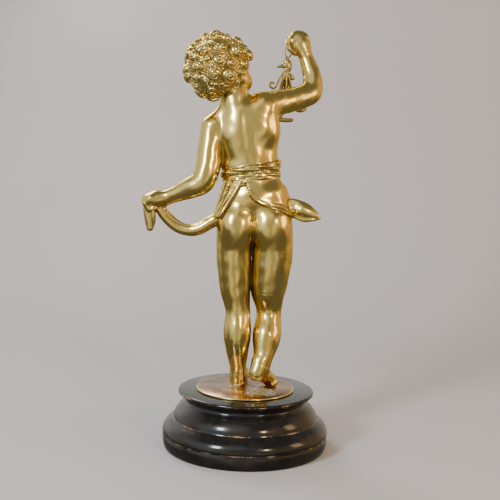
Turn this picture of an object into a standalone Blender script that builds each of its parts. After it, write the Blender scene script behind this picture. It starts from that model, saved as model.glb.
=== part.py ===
import bpy
import numpy as np

# Standing brass boy holding a sprig, on a brass disc and a turned ebonised plinth.
# Lengths are metres. +Z is up, the figure looks towards -Y, the origin is the middle of the underside.

# Overall sizes
TOTAL_HEIGHT = 0.4700
PLINTH_DIAMETER = 0.1850
PLINTH_HEIGHT = 0.0645
DISC_DIAMETER = 0.1094
DISC_THICKNESS = 0.0021
DISC_SHIFT = 0.0010
REST_GAP = 0.0003

# The figure keeps its proportions as shares of its own height, on a canon of 403 parts
DISC_TOP = PLINTH_HEIGHT + REST_GAP + DISC_THICKNESS
FIGURE_BASE = DISC_TOP + REST_GAP
FIGURE_HEIGHT = TOTAL_HEIGHT - FIGURE_BASE
CANON = 403.0
PART = FIGURE_HEIGHT / CANON

# Fineness of the carved solids, in parts of the canon
FIGURE_STEP = 1.45
FIGURE_TRIANGLES = 6200
SPRIG_STEP = 0.50
SPRIG_TRIANGLES = 1100
SPRIG_CLEARANCE = 0.9

PLINTH_SEGMENTS = 44
DISC_SEGMENTS = 48
FAR = 60.0


# Soft solids

def blend(a, b, k):
    h = np.maximum(k - np.abs(a - b), 0.0) / k
    return np.minimum(a, b) - h * h * k * 0.25


def carve(a, b, k):
    return -blend(-a, b, k)


def ramp(low, high, value):
    t = np.clip((value - low) / (high - low), 0.0, 1.0)
    return t * t * (3.0 - 2.0 * t)


def oval(p, centre, radii, axes=None):
    q = p - np.asarray(centre, float)
    if axes is not None:
        q = q @ np.asarray(axes, float).T
    r = np.asarray(radii, float)
    k0 = np.sqrt(((q / r) ** 2).sum(1))
    k1 = np.sqrt(((q / (r * r)) ** 2).sum(1))
    return k0 * (k0 - 1.0) / np.maximum(k1, 1e-9)


def limb(p, a, b, ra, rb, deep=1.0):
    s = np.array([1.0, 1.0 / deep, 1.0])
    a = np.asarray(a, float) * s
    b = np.asarray(b, float) * s
    q = p * s - a
    d = b - a
    h = np.clip(q @ d / (d @ d), 0.0, 1.0)
    return np.sqrt(((q - h[:, None] * d) ** 2).sum(1)) - (ra + (rb - ra) * h)


def chain(p, knots, deep=1.0):
    out = None
    for first, second in zip(knots[:-1], knots[1:]):
        piece = limb(p, first[:3], second[:3], first[3], second[3], deep)
        out = piece if out is None else np.minimum(out, piece)
    return out


def flowing(knots, cuts=5):
    k = np.asarray(knots, float)
    k = np.vstack([2 * k[0] - k[1], k, 2 * k[-1] - k[-2]])
    rows = []
    for i in range(1, len(k) - 2):
        for t in np.arange(cuts) / cuts:
            a = -0.5 * k[i - 1] + 1.5 * k[i] - 1.5 * k[i + 1] + 0.5 * k[i + 2]
            b = k[i - 1] - 2.5 * k[i] + 2.0 * k[i + 1] - 0.5 * k[i + 2]
            c = -0.5 * k[i - 1] + 0.5 * k[i + 1]
            rows.append(((a * t + b) * t + c) * t + k[i])
    rows.append(k[-2])
    return rows


def sweep(p, knots, deep=1.0):
    s = np.array([1.0, 1.0 / deep, 1.0])
    q = p * s
    best = np.full(len(p), 1e9)
    girth = np.zeros(len(p))
    rows = flowing(knots, 9)
    for first, second in zip(rows[:-1], rows[1:]):
        along = (second[:3] - first[:3]) * s
        r = q - first[:3] * s
        h = np.clip(r @ along / (along @ along), 0.0, 1.0)
        away = ((r - h[:, None] * along) ** 2).sum(1)
        girth = np.where(away < best, first[3] + (second[3] - first[3]) * h, girth)
        best = np.minimum(away, best)
    return np.sqrt(best) - girth


def within(p, low, high, make):
    out = np.full(len(p), FAR)
    keep = np.all((p > np.asarray(low, float)) & (p < np.asarray(high, float)), axis=1)
    if keep.any():
        out[keep] = make(p[keep])
    return out


# Head: turned to the figure's right and lifted
HEAD = np.array([36.6, 1.0, 347.0])
HEAD_TURN = np.radians(42.0)
HEAD_LIFT = np.radians(14.0)
FORWARD = np.array([
    -np.sin(HEAD_TURN) * np.cos(HEAD_LIFT),
    -np.cos(HEAD_TURN) * np.cos(HEAD_LIFT),
    np.sin(HEAD_LIFT)])
LEFTWARD = np.array([np.cos(HEAD_TURN), -np.sin(HEAD_TURN), 0.0])
UPWARD = np.cross(FORWARD, LEFTWARD)
HEAD_AXES = np.array([FORWARD, LEFTWARD, UPWARD])
CRANIUM = np.array([-4.0, 0.0, 6.0])
CRANIUM_RADII = np.array([34.5, 29.0, 30.0])


def face(q):
    d = oval(q, CRANIUM, CRANIUM_RADII)
    d = blend(d, oval(q, (8.0, 0.0, -9.0), (22.5, 22.5, 23.0)), 6.0)
    d = blend(d, oval(q, (11.0, 0.0, 11.0), (19.5, 23.0, 18.0)), 6.0)
    d = blend(d, oval(q, (18.5, 0.0, -25.5), (8.0, 8.5, 6.5)), 8.0)
    for side in (-1.0, 1.0):
        d = blend(d, oval(q, (17.5, side * 12.5, -14.5), (11.0, 10.5, 11.0)), 5.0)
        d = carve(d, oval(q, (33.5, side * 10.4, -2.4), (7.0, 6.6, 4.2)), 3.5)
        eye = np.array([23.6, side * 10.2, -3.2])
        ball = oval(q, eye, (6.1, 6.1, 6.1))
        lid = oval(q, eye, (6.9, 7.0, 6.9))
        upper = np.maximum(lid, 1.1 - (q[:, 2] - eye[2]) + 0.10 * np.abs(q[:, 1] - eye[1]))
        lower = np.maximum(lid, 2.3 + (q[:, 2] - eye[2]))
        d = blend(d, ball, 0.8)
        d = blend(d, upper, 0.7)
        d = blend(d, lower, 0.7)
        d = carve(d, oval(q, eye + (6.2, -side * 0.4, 0.0), (0.9, 1.1, 1.1)), 0.4)
        brow = [(30.6, side * 4.0, 3.4, 1.5), (29.8, side * 9.5, 5.0, 1.7), (26.6, side * 16.0, 3.4, 1.1)]
        d = blend(d, chain(q, brow), 4.0)
        d = blend(d, oval(q, (31.4, side * 3.3, -12.0), (3.2, 2.3, 2.2)), 1.5)
        lip = [(33.0, side * 0.9, -18.4, 1.35), (31.9, side * 4.0, -18.9, 1.15),
               (29.8, side * 6.6, -19.7, 0.7)]
        d = blend(d, chain(q, lip), 1.2)
        d = blend(d, chain(q, [(32.2, 0.0, -21.7, 1.9), (31.2, side * 4.2, -21.3, 1.2)]), 1.2)
        d = carve(d, chain(q, [(34.6, 0.0, -19.9, 0.55), (31.0, side * 7.2, -20.0, 0.45)]), 0.8)
        d = carve(d, oval(q, (33.8, side * 1.9, -13.8), (1.2, 0.9, 1.0)), 0.8)
        ear = oval(q, (3.0, side * 27.6, -8.0), (4.8, 3.2, 7.6))
        ear = carve(ear, oval(q, (4.0, side * 31.0, -7.5), (2.8, 2.2, 5.2)), 1.0)
        d = blend(d, ear, 2.0)
    d = blend(d, chain(q, [(28.6, 0.0, 0.5, 2.6), (32.4, 0.0, -7.5, 2.6), (33.8, 0.0, -11.2, 3.2)]), 3.0)
    d = carve(d, chain(q, [(34.4, 0.0, -15.4, 0.7), (34.6, 0.0, -17.3, 0.8)]), 1.2)
    return d


# Hair: snail curls in rows over the cranium, larger ones where the back of the head shows them
CURL_ROWS = 9
CURL_PITCH = 11.6
CURL_RADIUS = 7.0
CURLS_SEEN = (
    (-0.67, -0.34, 0.66, 7.0), (-0.26, -0.15, 0.95, 6.0), (-0.05, -0.25, 0.97, 6.5),
    (0.11, -0.42, 0.9, 6.0), (-0.31, -0.69, 0.65, 5.5), (0.03, -0.89, 0.46, 8.3),
    (0.72, -0.66, 0.23, 7.1), (0.53, -0.45, 0.72, 6.5), (-0.61, -0.75, 0.25, 7.8),
    (-0.41, -0.88, -0.25, 9.2), (-0.75, -0.66, -0.1, 8.1), (-0.43, -0.73, -0.54, 6.8),
    (-0.71, -0.33, -0.62, 6.5), (-0.43, -0.39, -0.81, 4.8), (-0.13, -0.57, -0.81, 4.8),
    (-0.98, -0.04, -0.18, 5.7), (-0.92, 0.37, -0.11, 4.8), (-0.9, 0.42, 0.09, 4.6),
    (-0.97, -0.19, 0.15, 6.5), (-0.88, -0.02, 0.47, 7.2), (-0.67, 0.58, 0.46, 5.0),
    (-0.47, 0.34, 0.81, 6.3), (0.2, -0.98, 0.01, 5.5), (0.03, -0.97, -0.24, 5.0),
    (-0.01, -0.83, -0.55, 4.8), (-0.86, 0.12, -0.49, 5.0), (-0.33, -0.93, 0.13, 5.5),
    (-0.88, -0.35, -0.33, 5.5), (-0.8, -0.46, 0.39, 4.6), (0.38, -0.8, 0.4, 6.4),
    (0.42, -0.85, -0.06, 4.6), (0.7, -0.52, 0.46, 5.6), (0.74, -0.26, 0.6, 6.2),
    (0.8, 0.02, 0.6, 5.4), (0.74, 0.3, 0.6, 6.4), (0.7, 0.56, 0.42, 6.0),
    (0.6, 0.76, 0.2, 6.4), (0.44, 0.88, -0.02, 5.4))
LOCK = (
    ((54.7, 29.5, 332.0, 2.3), (54.0, 25.0, 325.5, 2.5), (50.5, 17.0, 319.2, 2.5), (45.0, 14.0, 315.8, 2.3),
     (39.0, 15.5, 317.2, 1.8)),
    ((50.4, 31.5, 331.9, 2.3), (49.6, 26.0, 325.3, 2.5), (45.2, 19.5, 320.5, 2.4), (38.5, 17.5, 319.4, 1.8)),
    ((46.2, 32.0, 331.0, 2.3), (44.2, 26.5, 325.4, 2.4), (39.6, 21.5, 322.4, 2.3), (34.5, 18.5, 321.4, 1.7)),
    ((41.5, 32.0, 330.7, 2.2), (38.4, 27.0, 326.1, 2.3), (33.8, 22.0, 324.0, 1.9)))
HAIRLINE_FORWARD = (-1.0, -0.5, 0.0, 0.25, 0.55, 0.72, 0.86, 1.0)
HAIRLINE_HEIGHT = (-0.64, -0.84, -0.62, -0.16, 0.02, 0.18, 0.48, 0.78)


def hair_grows(direction):
    return direction[2] > np.interp(direction[0], HAIRLINE_FORWARD, HAIRLINE_HEIGHT)


def curl_list():
    curls = [(np.array(row[:3]), row[3]) for row in CURLS_SEEN]
    taken = len(curls)
    for row in range(CURL_ROWS + 1):
        angle = np.pi * (row / CURL_ROWS) * 0.86
        ring = max(1, int(round(2 * np.pi * 33.0 * np.sin(angle) / CURL_PITCH)))
        for step in range(ring):
            turn = 2 * np.pi * (step + 0.5 * (row % 2)) / ring + 0.19 * np.sin(3.0 * row + 5.0 * step)
            tip = angle + 0.07 * np.sin(7.0 * row + 2.3 * step)
            way = np.array([np.sin(tip) * np.cos(turn), np.sin(tip) * np.sin(turn), np.cos(tip)])
            size = CURL_RADIUS * (1.0 + 0.16 * np.sin(2.1 * row + 3.7 * step))
            clear = all(np.linalg.norm(way - c[0]) * 33.0 > 0.80 * (size + c[1]) for c in curls[:taken])
            if hair_grows(way) and clear:
                curls.append((way, size))
    return curls


def curl(q, way, size):
    foot = CRANIUM + way * CRANIUM_RADII
    normal = way / CRANIUM_RADII
    normal = normal / np.linalg.norm(normal)
    side = np.cross(normal, [0.3, 0.2, 1.0])
    side = side / np.linalg.norm(side)
    other = np.cross(normal, side)
    r = q - (foot + normal * (0.6 + 0.12 * size) * (1.0 + np.clip(2.0 * way[2] + 1.0, 0.0, 1.0)))
    a = r @ side
    b = r @ other
    return oval(np.stack([a, b, r @ normal], 1), (0, 0, 0), (size, size, size * 0.80))


def hair(q):
    way = (q - CRANIUM) / CRANIUM_RADII
    way = way / np.maximum(np.sqrt((way ** 2).sum(1)), 1e-6)[:, None]
    edge = way[:, 2] - np.interp(way[:, 0], HAIRLINE_FORWARD, HAIRLINE_HEIGHT)
    d = np.maximum(oval(q, CRANIUM, CRANIUM_RADII + 3.2), -26.0 * edge)
    for way, size in curl_list():
        foot = CRANIUM + way * CRANIUM_RADII
        near = np.abs(q - foot).max(1) < size * 1.9
        if near.any():
            d[near] = blend(d[near], curl(q[near], way, size), 0.5)
    return d


def lock(p):
    d = np.full(len(p), FAR)
    for strand in LOCK:
        d = blend(d, sweep(p, strand), 0.3)
    return d


def head(p):
    q = (p - HEAD) @ HEAD_AXES.T
    return blend(blend(face(q), hair(q), 1.0), within(p, (26, 2, 306), (66, 42, 342), lock), 0.5)


# Torso and legs

def leg(p, knots, seat, seat_radii):
    return blend(sweep(p, knots, 1.10), oval(p, seat, seat_radii), 7.0)


def torso(p):
    d = oval(p, (2.5, -1.0, 284.0), (31.0, 23.0, 35.0))
    d = blend(d, oval(p, (3.0, -4.5, 248.0), (31.5, 26.0, 30.0)), 12.0)
    d = blend(d, oval(p, (-3.5, -1.0, 212.0), (36.0, 26.0, 25.0)), 12.0)
    d = blend(d, limb(p, (36.5, 1.0, 288.0), (-3.0, 1.0, 307.0), 12.8, 14.2), 10.0)
    d = blend(d, limb(p, (17.0, 4.0, 304.0), (25.0, 0.0, 332.0), 15.6, 15.5), 7.0)
    d = blend(d, limb(p, (28.0, 3.0, 312.0), (46.0, 2.0, 288.0), 6.5, 8.5), 7.0)
    d = blend(d, oval(p, (-13.0, 4.0, 314.0), (10.0, 9.0, 11.0)), 12.0)
    for x, y, z, tilt in ((18.0, 9.8, 281.0, 0.24), (-9.0, 6.2, 293.0, -0.40)):
        blade = oval(p, (x, y, z), (12.5, 9.6, 20.0), [
            (np.cos(tilt), 0.0, np.sin(tilt)), (0.0, 1.0, 0.0), (-np.sin(tilt), 0.0, np.cos(tilt))])
        d = blend(d, blade, 12.0)
    armpit = flowing([(-19.0, 23.0, 310.0, 0.8), (-22.0, 22.0, 299.0, 1.0), (-23.5, 20.0, 288.0, 0.6)], 4)
    d = carve(d, chain(p, armpit), 7.0)
    spine = flowing([(11.0, 26.0, 306.0, 1.4), (6.5, 27.0, 285.0, 2.0), (3.0, 26.5, 265.0, 2.0),
                     (-1.0, 26.0, 246.0, 1.6), (-3.0, 29.0, 228.0, 1.0)], 4)
    d = carve(d, chain(p, spine), 6.5)
    for x in (16.0, -14.0):
        d = blend(d, oval(p, (x, -16.0, 287.0 - 0.12 * x), (13.0, 8.5, 9.5)), 6.0)
        d = blend(d, oval(p, (x * 1.05, -24.8, 284.0 - 0.12 * x), (1.2, 1.0, 1.2)), 1.0)
    d = carve(d, oval(p, (0.0, -31.4, 236.0), (1.9, 2.6, 2.3)), 2.2)
    return d


def trunk(p):
    core = within(p, (-60, -45, 160), (60, 45, 350), torso)
    left = within(p, (-24, -45, 0), (60, 45, 228), lambda r: leg(r, [
        (17.5, 0.0, 190.0, 20.0), (17.6, -1.0, 150.0, 19.6), (15.2, -1.5, 110.0, 16.9),
        (11.5, -1.0, 86.0, 13.8), (11.4, 2.0, 62.0, 15.4), (10.8, 1.0, 42.0, 12.8),
        (9.6, -4.0, 22.0, 9.3), (9.4, -5.0, 12.0, 8.8)],
        (14.5, 10.0, 180.0), (20.0, 19.0, 25.0)))
    right = within(p, (-60, -45, 0), (24, 45, 228), lambda r: leg(r, [
        (-24.5, -1.0, 188.0, 21.4), (-25.0, -3.0, 150.0, 22.6), (-21.8, -7.0, 112.0, 20.4),
        (-23.3, -9.5, 84.0, 14.1), (-21.5, -1.0, 58.0, 16.2), (-19.0, 7.0, 40.0, 12.0),
        (-16.0, 13.5, 26.0, 9.6)],
        (-21.5, 10.0, 181.0), (21.5, 19.0, 25.0)))
    both = blend(blend(core, left, 9.0), blend(core, right, 9.0), 1.2)
    crease = flowing([(-10.0, 29.5, 157.5, 0.9), (-22.0, 30.0, 154.0, 1.0), (-36.0, 24.0, 157.0, 0.7)], 3)
    both = carve(both, chain(p, crease), 2.6)
    crease = flowing([(4.0, 28.0, 157.0, 0.7), (14.0, 28.5, 154.5, 0.9), (27.0, 24.0, 157.5, 0.6)], 3)
    return carve(both, chain(p, crease), 2.6)


def foot(p, heel, turn, lift, inner):
    c = np.cos(turn)
    s = np.sin(turn)
    q = p - np.array([heel[0], heel[1], 0.0])
    q = np.stack([-s * q[:, 0] - c * q[:, 1], inner * (c * q[:, 0] - s * q[:, 1]), q[:, 2]], 1)
    d = oval(q, (1.0, 0.0, 6.5 + lift), (8.4, 7.6, 10.5))
    d = blend(d, limb(q, (2.0, 0.0, 6.5 + lift), (31.0, 0.6, 6.2), 7.0, 6.6, 1.30), 4.0)
    d = blend(d, limb(q, (5.0, 0.0, 19.0 + lift), (28.0, 1.5, 8.5), 8.0, 5.4), 6.0)
    for i in range(5):
        across = 7.4 - 3.7 * i
        reach = 47.0 - 1.0 * i - 0.75 * i * i
        size = 3.9 if i == 0 else 3.0 - 0.14 * i
        toe = chain(q, [(31.0, across, 5.6, size + 0.4), (reach - 5.0, across, size + 1.2, size * 0.92),
                        (reach, across, size + 0.2, size)])
        d = blend(d, toe, 1.1)
        d = carve(d, oval(q, (reach + 1.2, across, 2 * size + 0.4), (2.0, size * 0.62, 0.7)), 0.4)
    if lift > 0.0:
        sole = limb(q, (-7.0, 0.0, lift - 3.4), (21.0, 0.0, -4.0), 5.4, 4.6, 1.2)
        d = carve(d, sole, 0.6)
    else:
        d = blend(d, limb(q, (-0.6, 0.0, 3.0), (9.0, 0.0, 3.0), 8.0, 7.4), 3.0)
    return np.maximum(d, -p[:, 2])


# Hands: closed around what they hold

def fist(p, wrist, reach, back, size=1.0):
    reach = np.asarray(reach, float) / np.linalg.norm(reach)
    back = np.asarray(back, float)
    back = back - reach * (back @ reach)
    back = back / np.linalg.norm(back)
    thumb = np.cross(reach, back)
    return (p - np.asarray(wrist, float)) @ np.array([reach, thumb, back]).T / size


def closed_hand(q, side):
    q = q * np.array([1.0, side, 1.0])
    d = oval(q, (9.4, 0.4, -0.4), (12.6, 10.2, 7.0))
    d = blend(d, oval(q, (12.0, 2.5, -5.0), (7.0, 8.0, 5.0)), 1.5)
    d = blend(d, limb(q, (-2.0, 0.0, 0.0), (6.0, 0.0, 0.0), 6.2, 6.6), 4.0)
    for i in range(4):
        across = 6.9 - 4.5 * i
        bend = 1.0 - 0.05 * abs(i - 1.0)
        knuckle = (19.6 * bend, across * 0.96, -3.4, 2.8)
        d = blend(d, chain(q, [(13.5 * bend, across, 1.8, 3.1), knuckle]), 2.4)
        folded = chain(q, [knuckle, (16.5 * bend, across * 0.94, -9.4, 2.5), (9.5, across * 0.92, -8.6, 2.3)])
        d = blend(d, folded, 0.9)
    thumb = [(3.0, 7.5, -2.0, 4.0), (10.5, 10.4, -6.5, 3.2), (17.0, 7.0, -9.5, 2.7), (18.6, 3.6, -10.4, 2.3)]
    return blend(d, chain(q, flowing(thumb, 3)), 1.2)


HAND_SIZE = 1.16
LEFT_WRIST = (96.5, -2.0, 208.5)
RIGHT_WRIST = (-54.5, -47.5, 378.4)


def left_arm(p):
    d = sweep(p, [(43.8, 1.0, 286.8, 14.0), (46.6, 4.0, 262.0, 13.8), (49.2, 8.0, 240.0, 13.4),
                  (54.8, 8.6, 227.6, 13.2), (67.6, 5.5, 220.8, 11.8), (82.0, 1.5, 214.2, 9.3),
                  (96.5, -2.0, 208.5, 7.4)])
    q = fist(p, LEFT_WRIST, (1.0, -0.06, -0.05), (0.05, 0.18, 1.0), HAND_SIZE)
    hand = within(q, (-12, -20, -24), (36, 20, 18), lambda r: closed_hand(r, 1.0))
    return blend(d, hand * HAND_SIZE, 3.0)


def right_arm(p):
    d = sweep(p, [(-11.0, 2.0, 311.0, 15.0), (-26.0, -9.0, 316.6, 14.2), (-45.0, -24.0, 322.6, 13.1),
                  (-62.5, -38.0, 331.0, 13.1), (-65.0, -43.0, 346.0, 11.0), (-61.5, -46.5, 360.0, 9.6),
                  (-55.0, -48.0, 377.5, 7.1)])
    q = fist(p, RIGHT_WRIST, (0.44, -0.06, 1.0), (-0.15, 1.0, 0.20), HAND_SIZE)
    hand = within(q, (-12, -20, -24), (36, 20, 18), lambda r: closed_hand(r, -1.0))
    return blend(d, hand * HAND_SIZE, 3.0)


# Cloth: a rolled sash, the loincloth under it, a flying end and a swag up to the left hand
SASH_HEIGHT = 237.5
SASH_SLOPE = -0.255
SASH_ROLLS = ((6.2, 3.7, 2.3), (0.2, 3.6, 1.7), (-6.4, 3.9, 2.4))
CLOTH_THICKNESS = 2.1
HEM_BACK_X = (-47.0, -33.0, -22.0, -11.5, -3.3, 2.5, 6.5, 10.0, 14.0, 34.5, 40.0)
HEM_BACK_Z = (191.0, 198.0, 200.5, 204.0, 208.5, 214.0, 226.0, 232.0, 227.0, 193.0, 186.0)
GATHER_RADIUS = 3.0
GATHERS = (
    ((12.0, 231.0), (19.0, 218.0), (28.0, 204.0), (36.0, 192.0)),
    ((19.0, 229.0), (25.0, 217.0), (32.0, 205.0), (38.0, 196.0)),
    ((27.0, 228.0), (31.5, 217.0), (36.0, 207.0), (40.0, 200.0)))
HEM_FRONT_X = (-47.0, -32.0, -12.0, 6.0, 24.0, 38.0)
HEM_FRONT_Z = (191.0, 172.0, 158.0, 156.0, 168.0, 184.0)


def sash(p, core):
    turn = np.arctan2(p[:, 1] + 1.0, p[:, 0] - 1.0)
    w = p[:, 2] - (SASH_HEIGHT + SASH_SLOPE * p[:, 0])
    out = np.full(len(p), FAR)
    for i, (middle, half, swell) in enumerate(SASH_ROLLS):
        drift = 1.1 * np.sin(2.0 * turn + 1.9 * i)
        t = 1.0 - ((w - middle - drift) / half) ** 2
        rise = 0.6 + swell * np.sqrt(np.maximum(t, 0.0)) + np.minimum(t, 0.0) * 2.5
        rise = rise + 0.30 * np.sin(9.0 * turn + 1.3 * w + 2.0 * i)
        out = blend(out, core - rise, 0.5)
    return np.maximum(out, np.abs(w) - 12.0)


def loincloth(p, core):
    x = p[:, 0]
    z = p[:, 2]
    rear = ramp(-7.0, 7.0, p[:, 1])
    hem = np.interp(x, HEM_FRONT_X, HEM_FRONT_Z) * (1.0 - rear) + np.interp(x, HEM_BACK_X, HEM_BACK_Z) * rear
    g = (z - hem) * 0.80
    top = SASH_HEIGHT + SASH_SLOPE * x - 3.0 - z
    rise = np.minimum(CLOTH_THICKNESS, 1.7 * g)
    rise = rise + 0.85 * np.exp(-((g - 1.9) / 1.2) ** 2) + 0.45 * np.exp(-((g - 5.2) / 1.3) ** 2)
    drop = np.clip((SASH_HEIGHT - 8.0 - z) / (SASH_HEIGHT - 8.0 - hem + 1e-6), 0.0, 1.2)
    swing = np.interp(x, (-47.0, -5.0, 38.0), (0.2, 1.0, 0.35))
    festoon = swing * 1.5 * np.cos(2 * np.pi * (3.6 * drop + 0.012 * (x + 5.0)))
    slack = 0.35 * np.sin(0.16 * x + 0.14 * z) * ramp(0.0, 8.0, g)
    rise = rise + (festoon * (1.0 - rear) + slack * rear) * ramp(0.0, 4.0, g)
    d = np.maximum(core - rise, -top)
    flat = p * np.array([1.0, 0.0, 1.0])
    for line in GATHERS:
        away = np.maximum(chain(flat, flowing([(u, 0.0, w, 0.0) for u, w in line], 3)), 0.0)
        fold = np.sqrt(away ** 2 + (core - 0.8) ** 2) - GATHER_RADIUS
        d = blend(d, np.maximum(fold, -3.0 - p[:, 1]), 1.0)
    return d


def flying_end(p):
    tilt = np.radians(-22.0)
    axes = [(-np.cos(tilt), 0.10, np.sin(tilt)), (0.10, 1.0, 0.0), (np.sin(tilt), 0.0, np.cos(tilt))]
    d = oval(p, (-53.5, 3.0, 200.8), (21.0, 5.6, 9.6), axes)
    point = [(-56.0, 4.0, 200.0, 7.2), (-66.0, 4.6, 196.0, 5.2), (-75.4, 5.0, 191.7, 1.4)]
    d = blend(d, sweep(p, point), 4.0)
    edge = [(-44.0, 5.0, 194.0, 2.0), (-56.0, 6.8, 189.8, 2.4), (-66.0, 7.0, 190.0, 2.1),
            (-76.0, 5.6, 191.2, 1.1)]
    d = blend(d, sweep(p, edge), 1.0)
    for lift in (-1.0, 4.5):
        groove = [(-44.0, -3.6, 201.0 + lift, 0.8), (-56.0, -3.6, 198.0 + lift, 1.0),
                  (-68.0, -1.6, 193.8 + 0.6 * lift, 0.6)]
        d = carve(d, sweep(p, groove), 1.6)
    return d


def swag(p):
    line = [(34.0, 4.0, 190.0, 7.0), (43.0, 3.0, 184.5, 7.0), (56.0, 1.0, 176.5, 6.9),
            (68.0, -1.0, 173.8, 6.7), (81.0, -2.5, 177.5, 6.5), (94.0, -3.5, 188.0, 6.4),
            (101.5, -4.0, 199.0, 6.2)]
    d = sweep(p, line)
    for lift, back, size in ((5.2, 4.6, 0.7), (2.8, -6.0, 1.0), (-3.6, -5.8, 0.8)):
        groove = [(k[0] + 0.1 * lift, k[1] + back * k[3] / 6.8, k[2] + lift * k[3] / 6.8, size) for k in line]
        d = carve(d, sweep(p, groove), 1.3)
    return d


def tail(p):
    line = [(112.0, -4.0, 203.0, 7.4), (112.5, -3.0, 193.0, 7.0), (111.5, -2.5, 183.0, 6.0),
            (111.4, -2.0, 175.6, 4.0)]
    d = sweep(p, line, 0.68)
    fold = [(108.0, 2.4, 201.0, 2.2), (107.6, 2.6, 190.0, 2.2), (107.2, 1.6, 182.0, 1.6)]
    d = blend(d, sweep(p, fold), 0.8)
    d = carve(d, sweep(p, [(114.6, 3.6, 200.0, 0.8), (114.2, 3.2, 181.0, 0.8)]), 1.2)
    return carve(d, chain(p, [(108.6, -7.4, 201.0, 1.0), (109.4, -7.0, 179.0, 0.8)]), 1.2)


# The whole casting

def add(d, p, low, high, make, soft):
    keep = np.all((p > np.asarray(low, float)) & (p < np.asarray(high, float)), axis=1)
    if keep.any():
        d[keep] = blend(d[keep], make(p[keep]), soft)


def body(p):
    d = within(p, (-60, -45, 5), (60, 45, 350), trunk)
    core = d.copy()
    add(d, p, (-2, -62, -4), (32, 14, 40), lambda r: foot(r, (9.0, -6.0), np.radians(6.0), 0.0, -1.0), 4.0)
    add(d, p, (-56, -42, -4), (2, 30, 48), lambda r: foot(r, (-10.8, 18.5), np.radians(31.0), 13.0, 1.0), 4.0)
    keep = np.all((p > (-56.0, -44.0, 146.0)) & (p < (52.0, 42.0, 262.0)), axis=1)
    if keep.any():
        near = p[keep]
        inner = core[keep]
        d[keep] = blend(blend(d[keep], loincloth(near, inner), 0.6), sash(near, inner), 0.8)
    add(d, p, (-90, -14, 176), (-34, 20, 226), flying_end, 1.5)
    add(d, p, (24, -20, 158), (116, 20, 214), swag, 2.0)
    add(d, p, (20, -30, 180), (130, 34, 320), left_arm, 4.0)
    add(d, p, (92, -20, 164), (126, 16, 216), tail, 1.0)
    add(d, p, (-92, -74, 284), (20, 30, 410), right_arm, 6.0)
    return d


def figure(p):
    d = body(p)
    add(d, p, (-12, -56, 296), (96, 58, 404), head, 2.0)
    return d


# The sprig: a wire hooked through the raised hand, leaves, strands and a tendril below it

def sprig(p):
    d = sweep(p, [(-44.0, -52.0, 388.0, 1.0), (-38.5, -53.0, 385.0, 1.0), (-34.4, -53.5, 382.0, 1.0),
                  (-33.0, -52.8, 376.5, 1.0), (-35.0, -52.0, 370.0, 1.3)])
    beak = [(-43.4, -50.5, 380.0, 1.0), (-39.8, -51.0, 374.6, 1.3), (-36.6, -51.5, 370.6, 1.7)]
    d = blend(d, sweep(p, beak), 0.6)
    d = blend(d, oval(p, (-35.2, -51.5, 365.0), (3.2, 3.0, 6.4)), 1.0)
    d = blend(d, oval(p, (-39.0, -51.5, 361.6), (2.5, 2.4, 6.6)), 0.8)
    bud = [(-35.5, -51.5, 361.0, 2.4), (-29.5, -51.0, 361.2, 1.9), (-24.6, -50.5, 359.8, 0.8)]
    d = blend(d, sweep(p, bud), 1.0)
    for tip, bow, size in ((-28.6, 2.2, 1.6), (-32.2, -1.6, 1.5), (-35.8, 1.8, 1.7),
                           (-39.4, -2.0, 1.5), (-42.8, 2.4, 1.4)):
        strand = [(-35.5, -51.5, 359.0, 1.9), ((tip - 35.5) * 0.5, -51.5 + bow, 347.0, size),
                  (tip, -51.5 + 0.5 * bow, 333.0, size)]
        d = blend(d, sweep(p, strand), 0.5)
    tendril = [(-33.0, -51.0, 356.0, 1.3), (-27.8, -50.0, 347.0, 1.2), (-24.6, -49.5, 338.6, 1.2),
               (-20.6, -49.5, 335.6, 1.2), (-17.2, -49.5, 338.2, 1.2), (-18.4, -49.5, 342.2, 1.2),
               (-21.6, -49.5, 341.6, 1.0)]
    d = blend(d, sweep(p, tendril), 0.4)
    stem = [(-35.5, -51.5, 357.0, 1.8), (-38.0, -53.0, 338.0, 1.6), (-38.5, -53.0, 322.0, 1.6),
            (-33.0, -51.0, 308.0, 1.5), (-29.0, -49.5, 300.0, 1.6)]
    d = blend(d, sweep(p, stem), 0.8)
    d = blend(d, sweep(p, [(-38.4, -52.6, 322.0, 1.4), (-46.0, -52.0, 313.6, 2.0), (-54.0, -51.5, 311.8, 2.4),
                           (-60.0, -51.0, 313.6, 1.0)]), 0.8)
    end = [(-28.0, -49.0, 300.4, 2.2), (-38.0, -50.0, 300.0, 2.4), (-43.4, -50.0, 300.4, 2.0)]
    d = blend(d, sweep(p, end), 0.8)
    for z, side, size in ((350.0, -1.0, 5.4), (341.0, 1.0, 5.8), (331.0, -1.0, 6.0), (324.0, 1.0, 5.0)):
        x = -36.5 - 0.08 * (350.0 - z)
        leaf = oval(p, (x + side * 4.0, -55.0, z), (size, 1.5, 3.2), [
            (0.83, 0.0, -0.55 * side), (0.0, 1.0, 0.0), (0.55 * side, 0.0, 0.83)])
        d = blend(d, leaf, 0.8)
    return d


def held_sprig(p):
    return np.maximum(sprig(p), SPRIG_CLEARANCE - right_arm(p))


# Skin of a soft solid: one vertex for every cell that the surface crosses

CORNERS = np.array([(i & 1, (i >> 1) & 1, (i >> 2) & 1) for i in range(8)])
EDGES = [(a, b) for a in range(8) for b in range(a + 1, 8) if np.abs(CORNERS[a] - CORNERS[b]).sum() == 1]


def pieces(chosen):
    left = set(chosen)
    count = 0
    while left:
        count += 1
        heap = [left.pop()]
        while heap:
            here = heap.pop()
            for other in list(left):
                if np.abs(CORNERS[here] - CORNERS[other]).sum() == 1:
                    left.remove(other)
                    heap.append(other)
    return count


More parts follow.
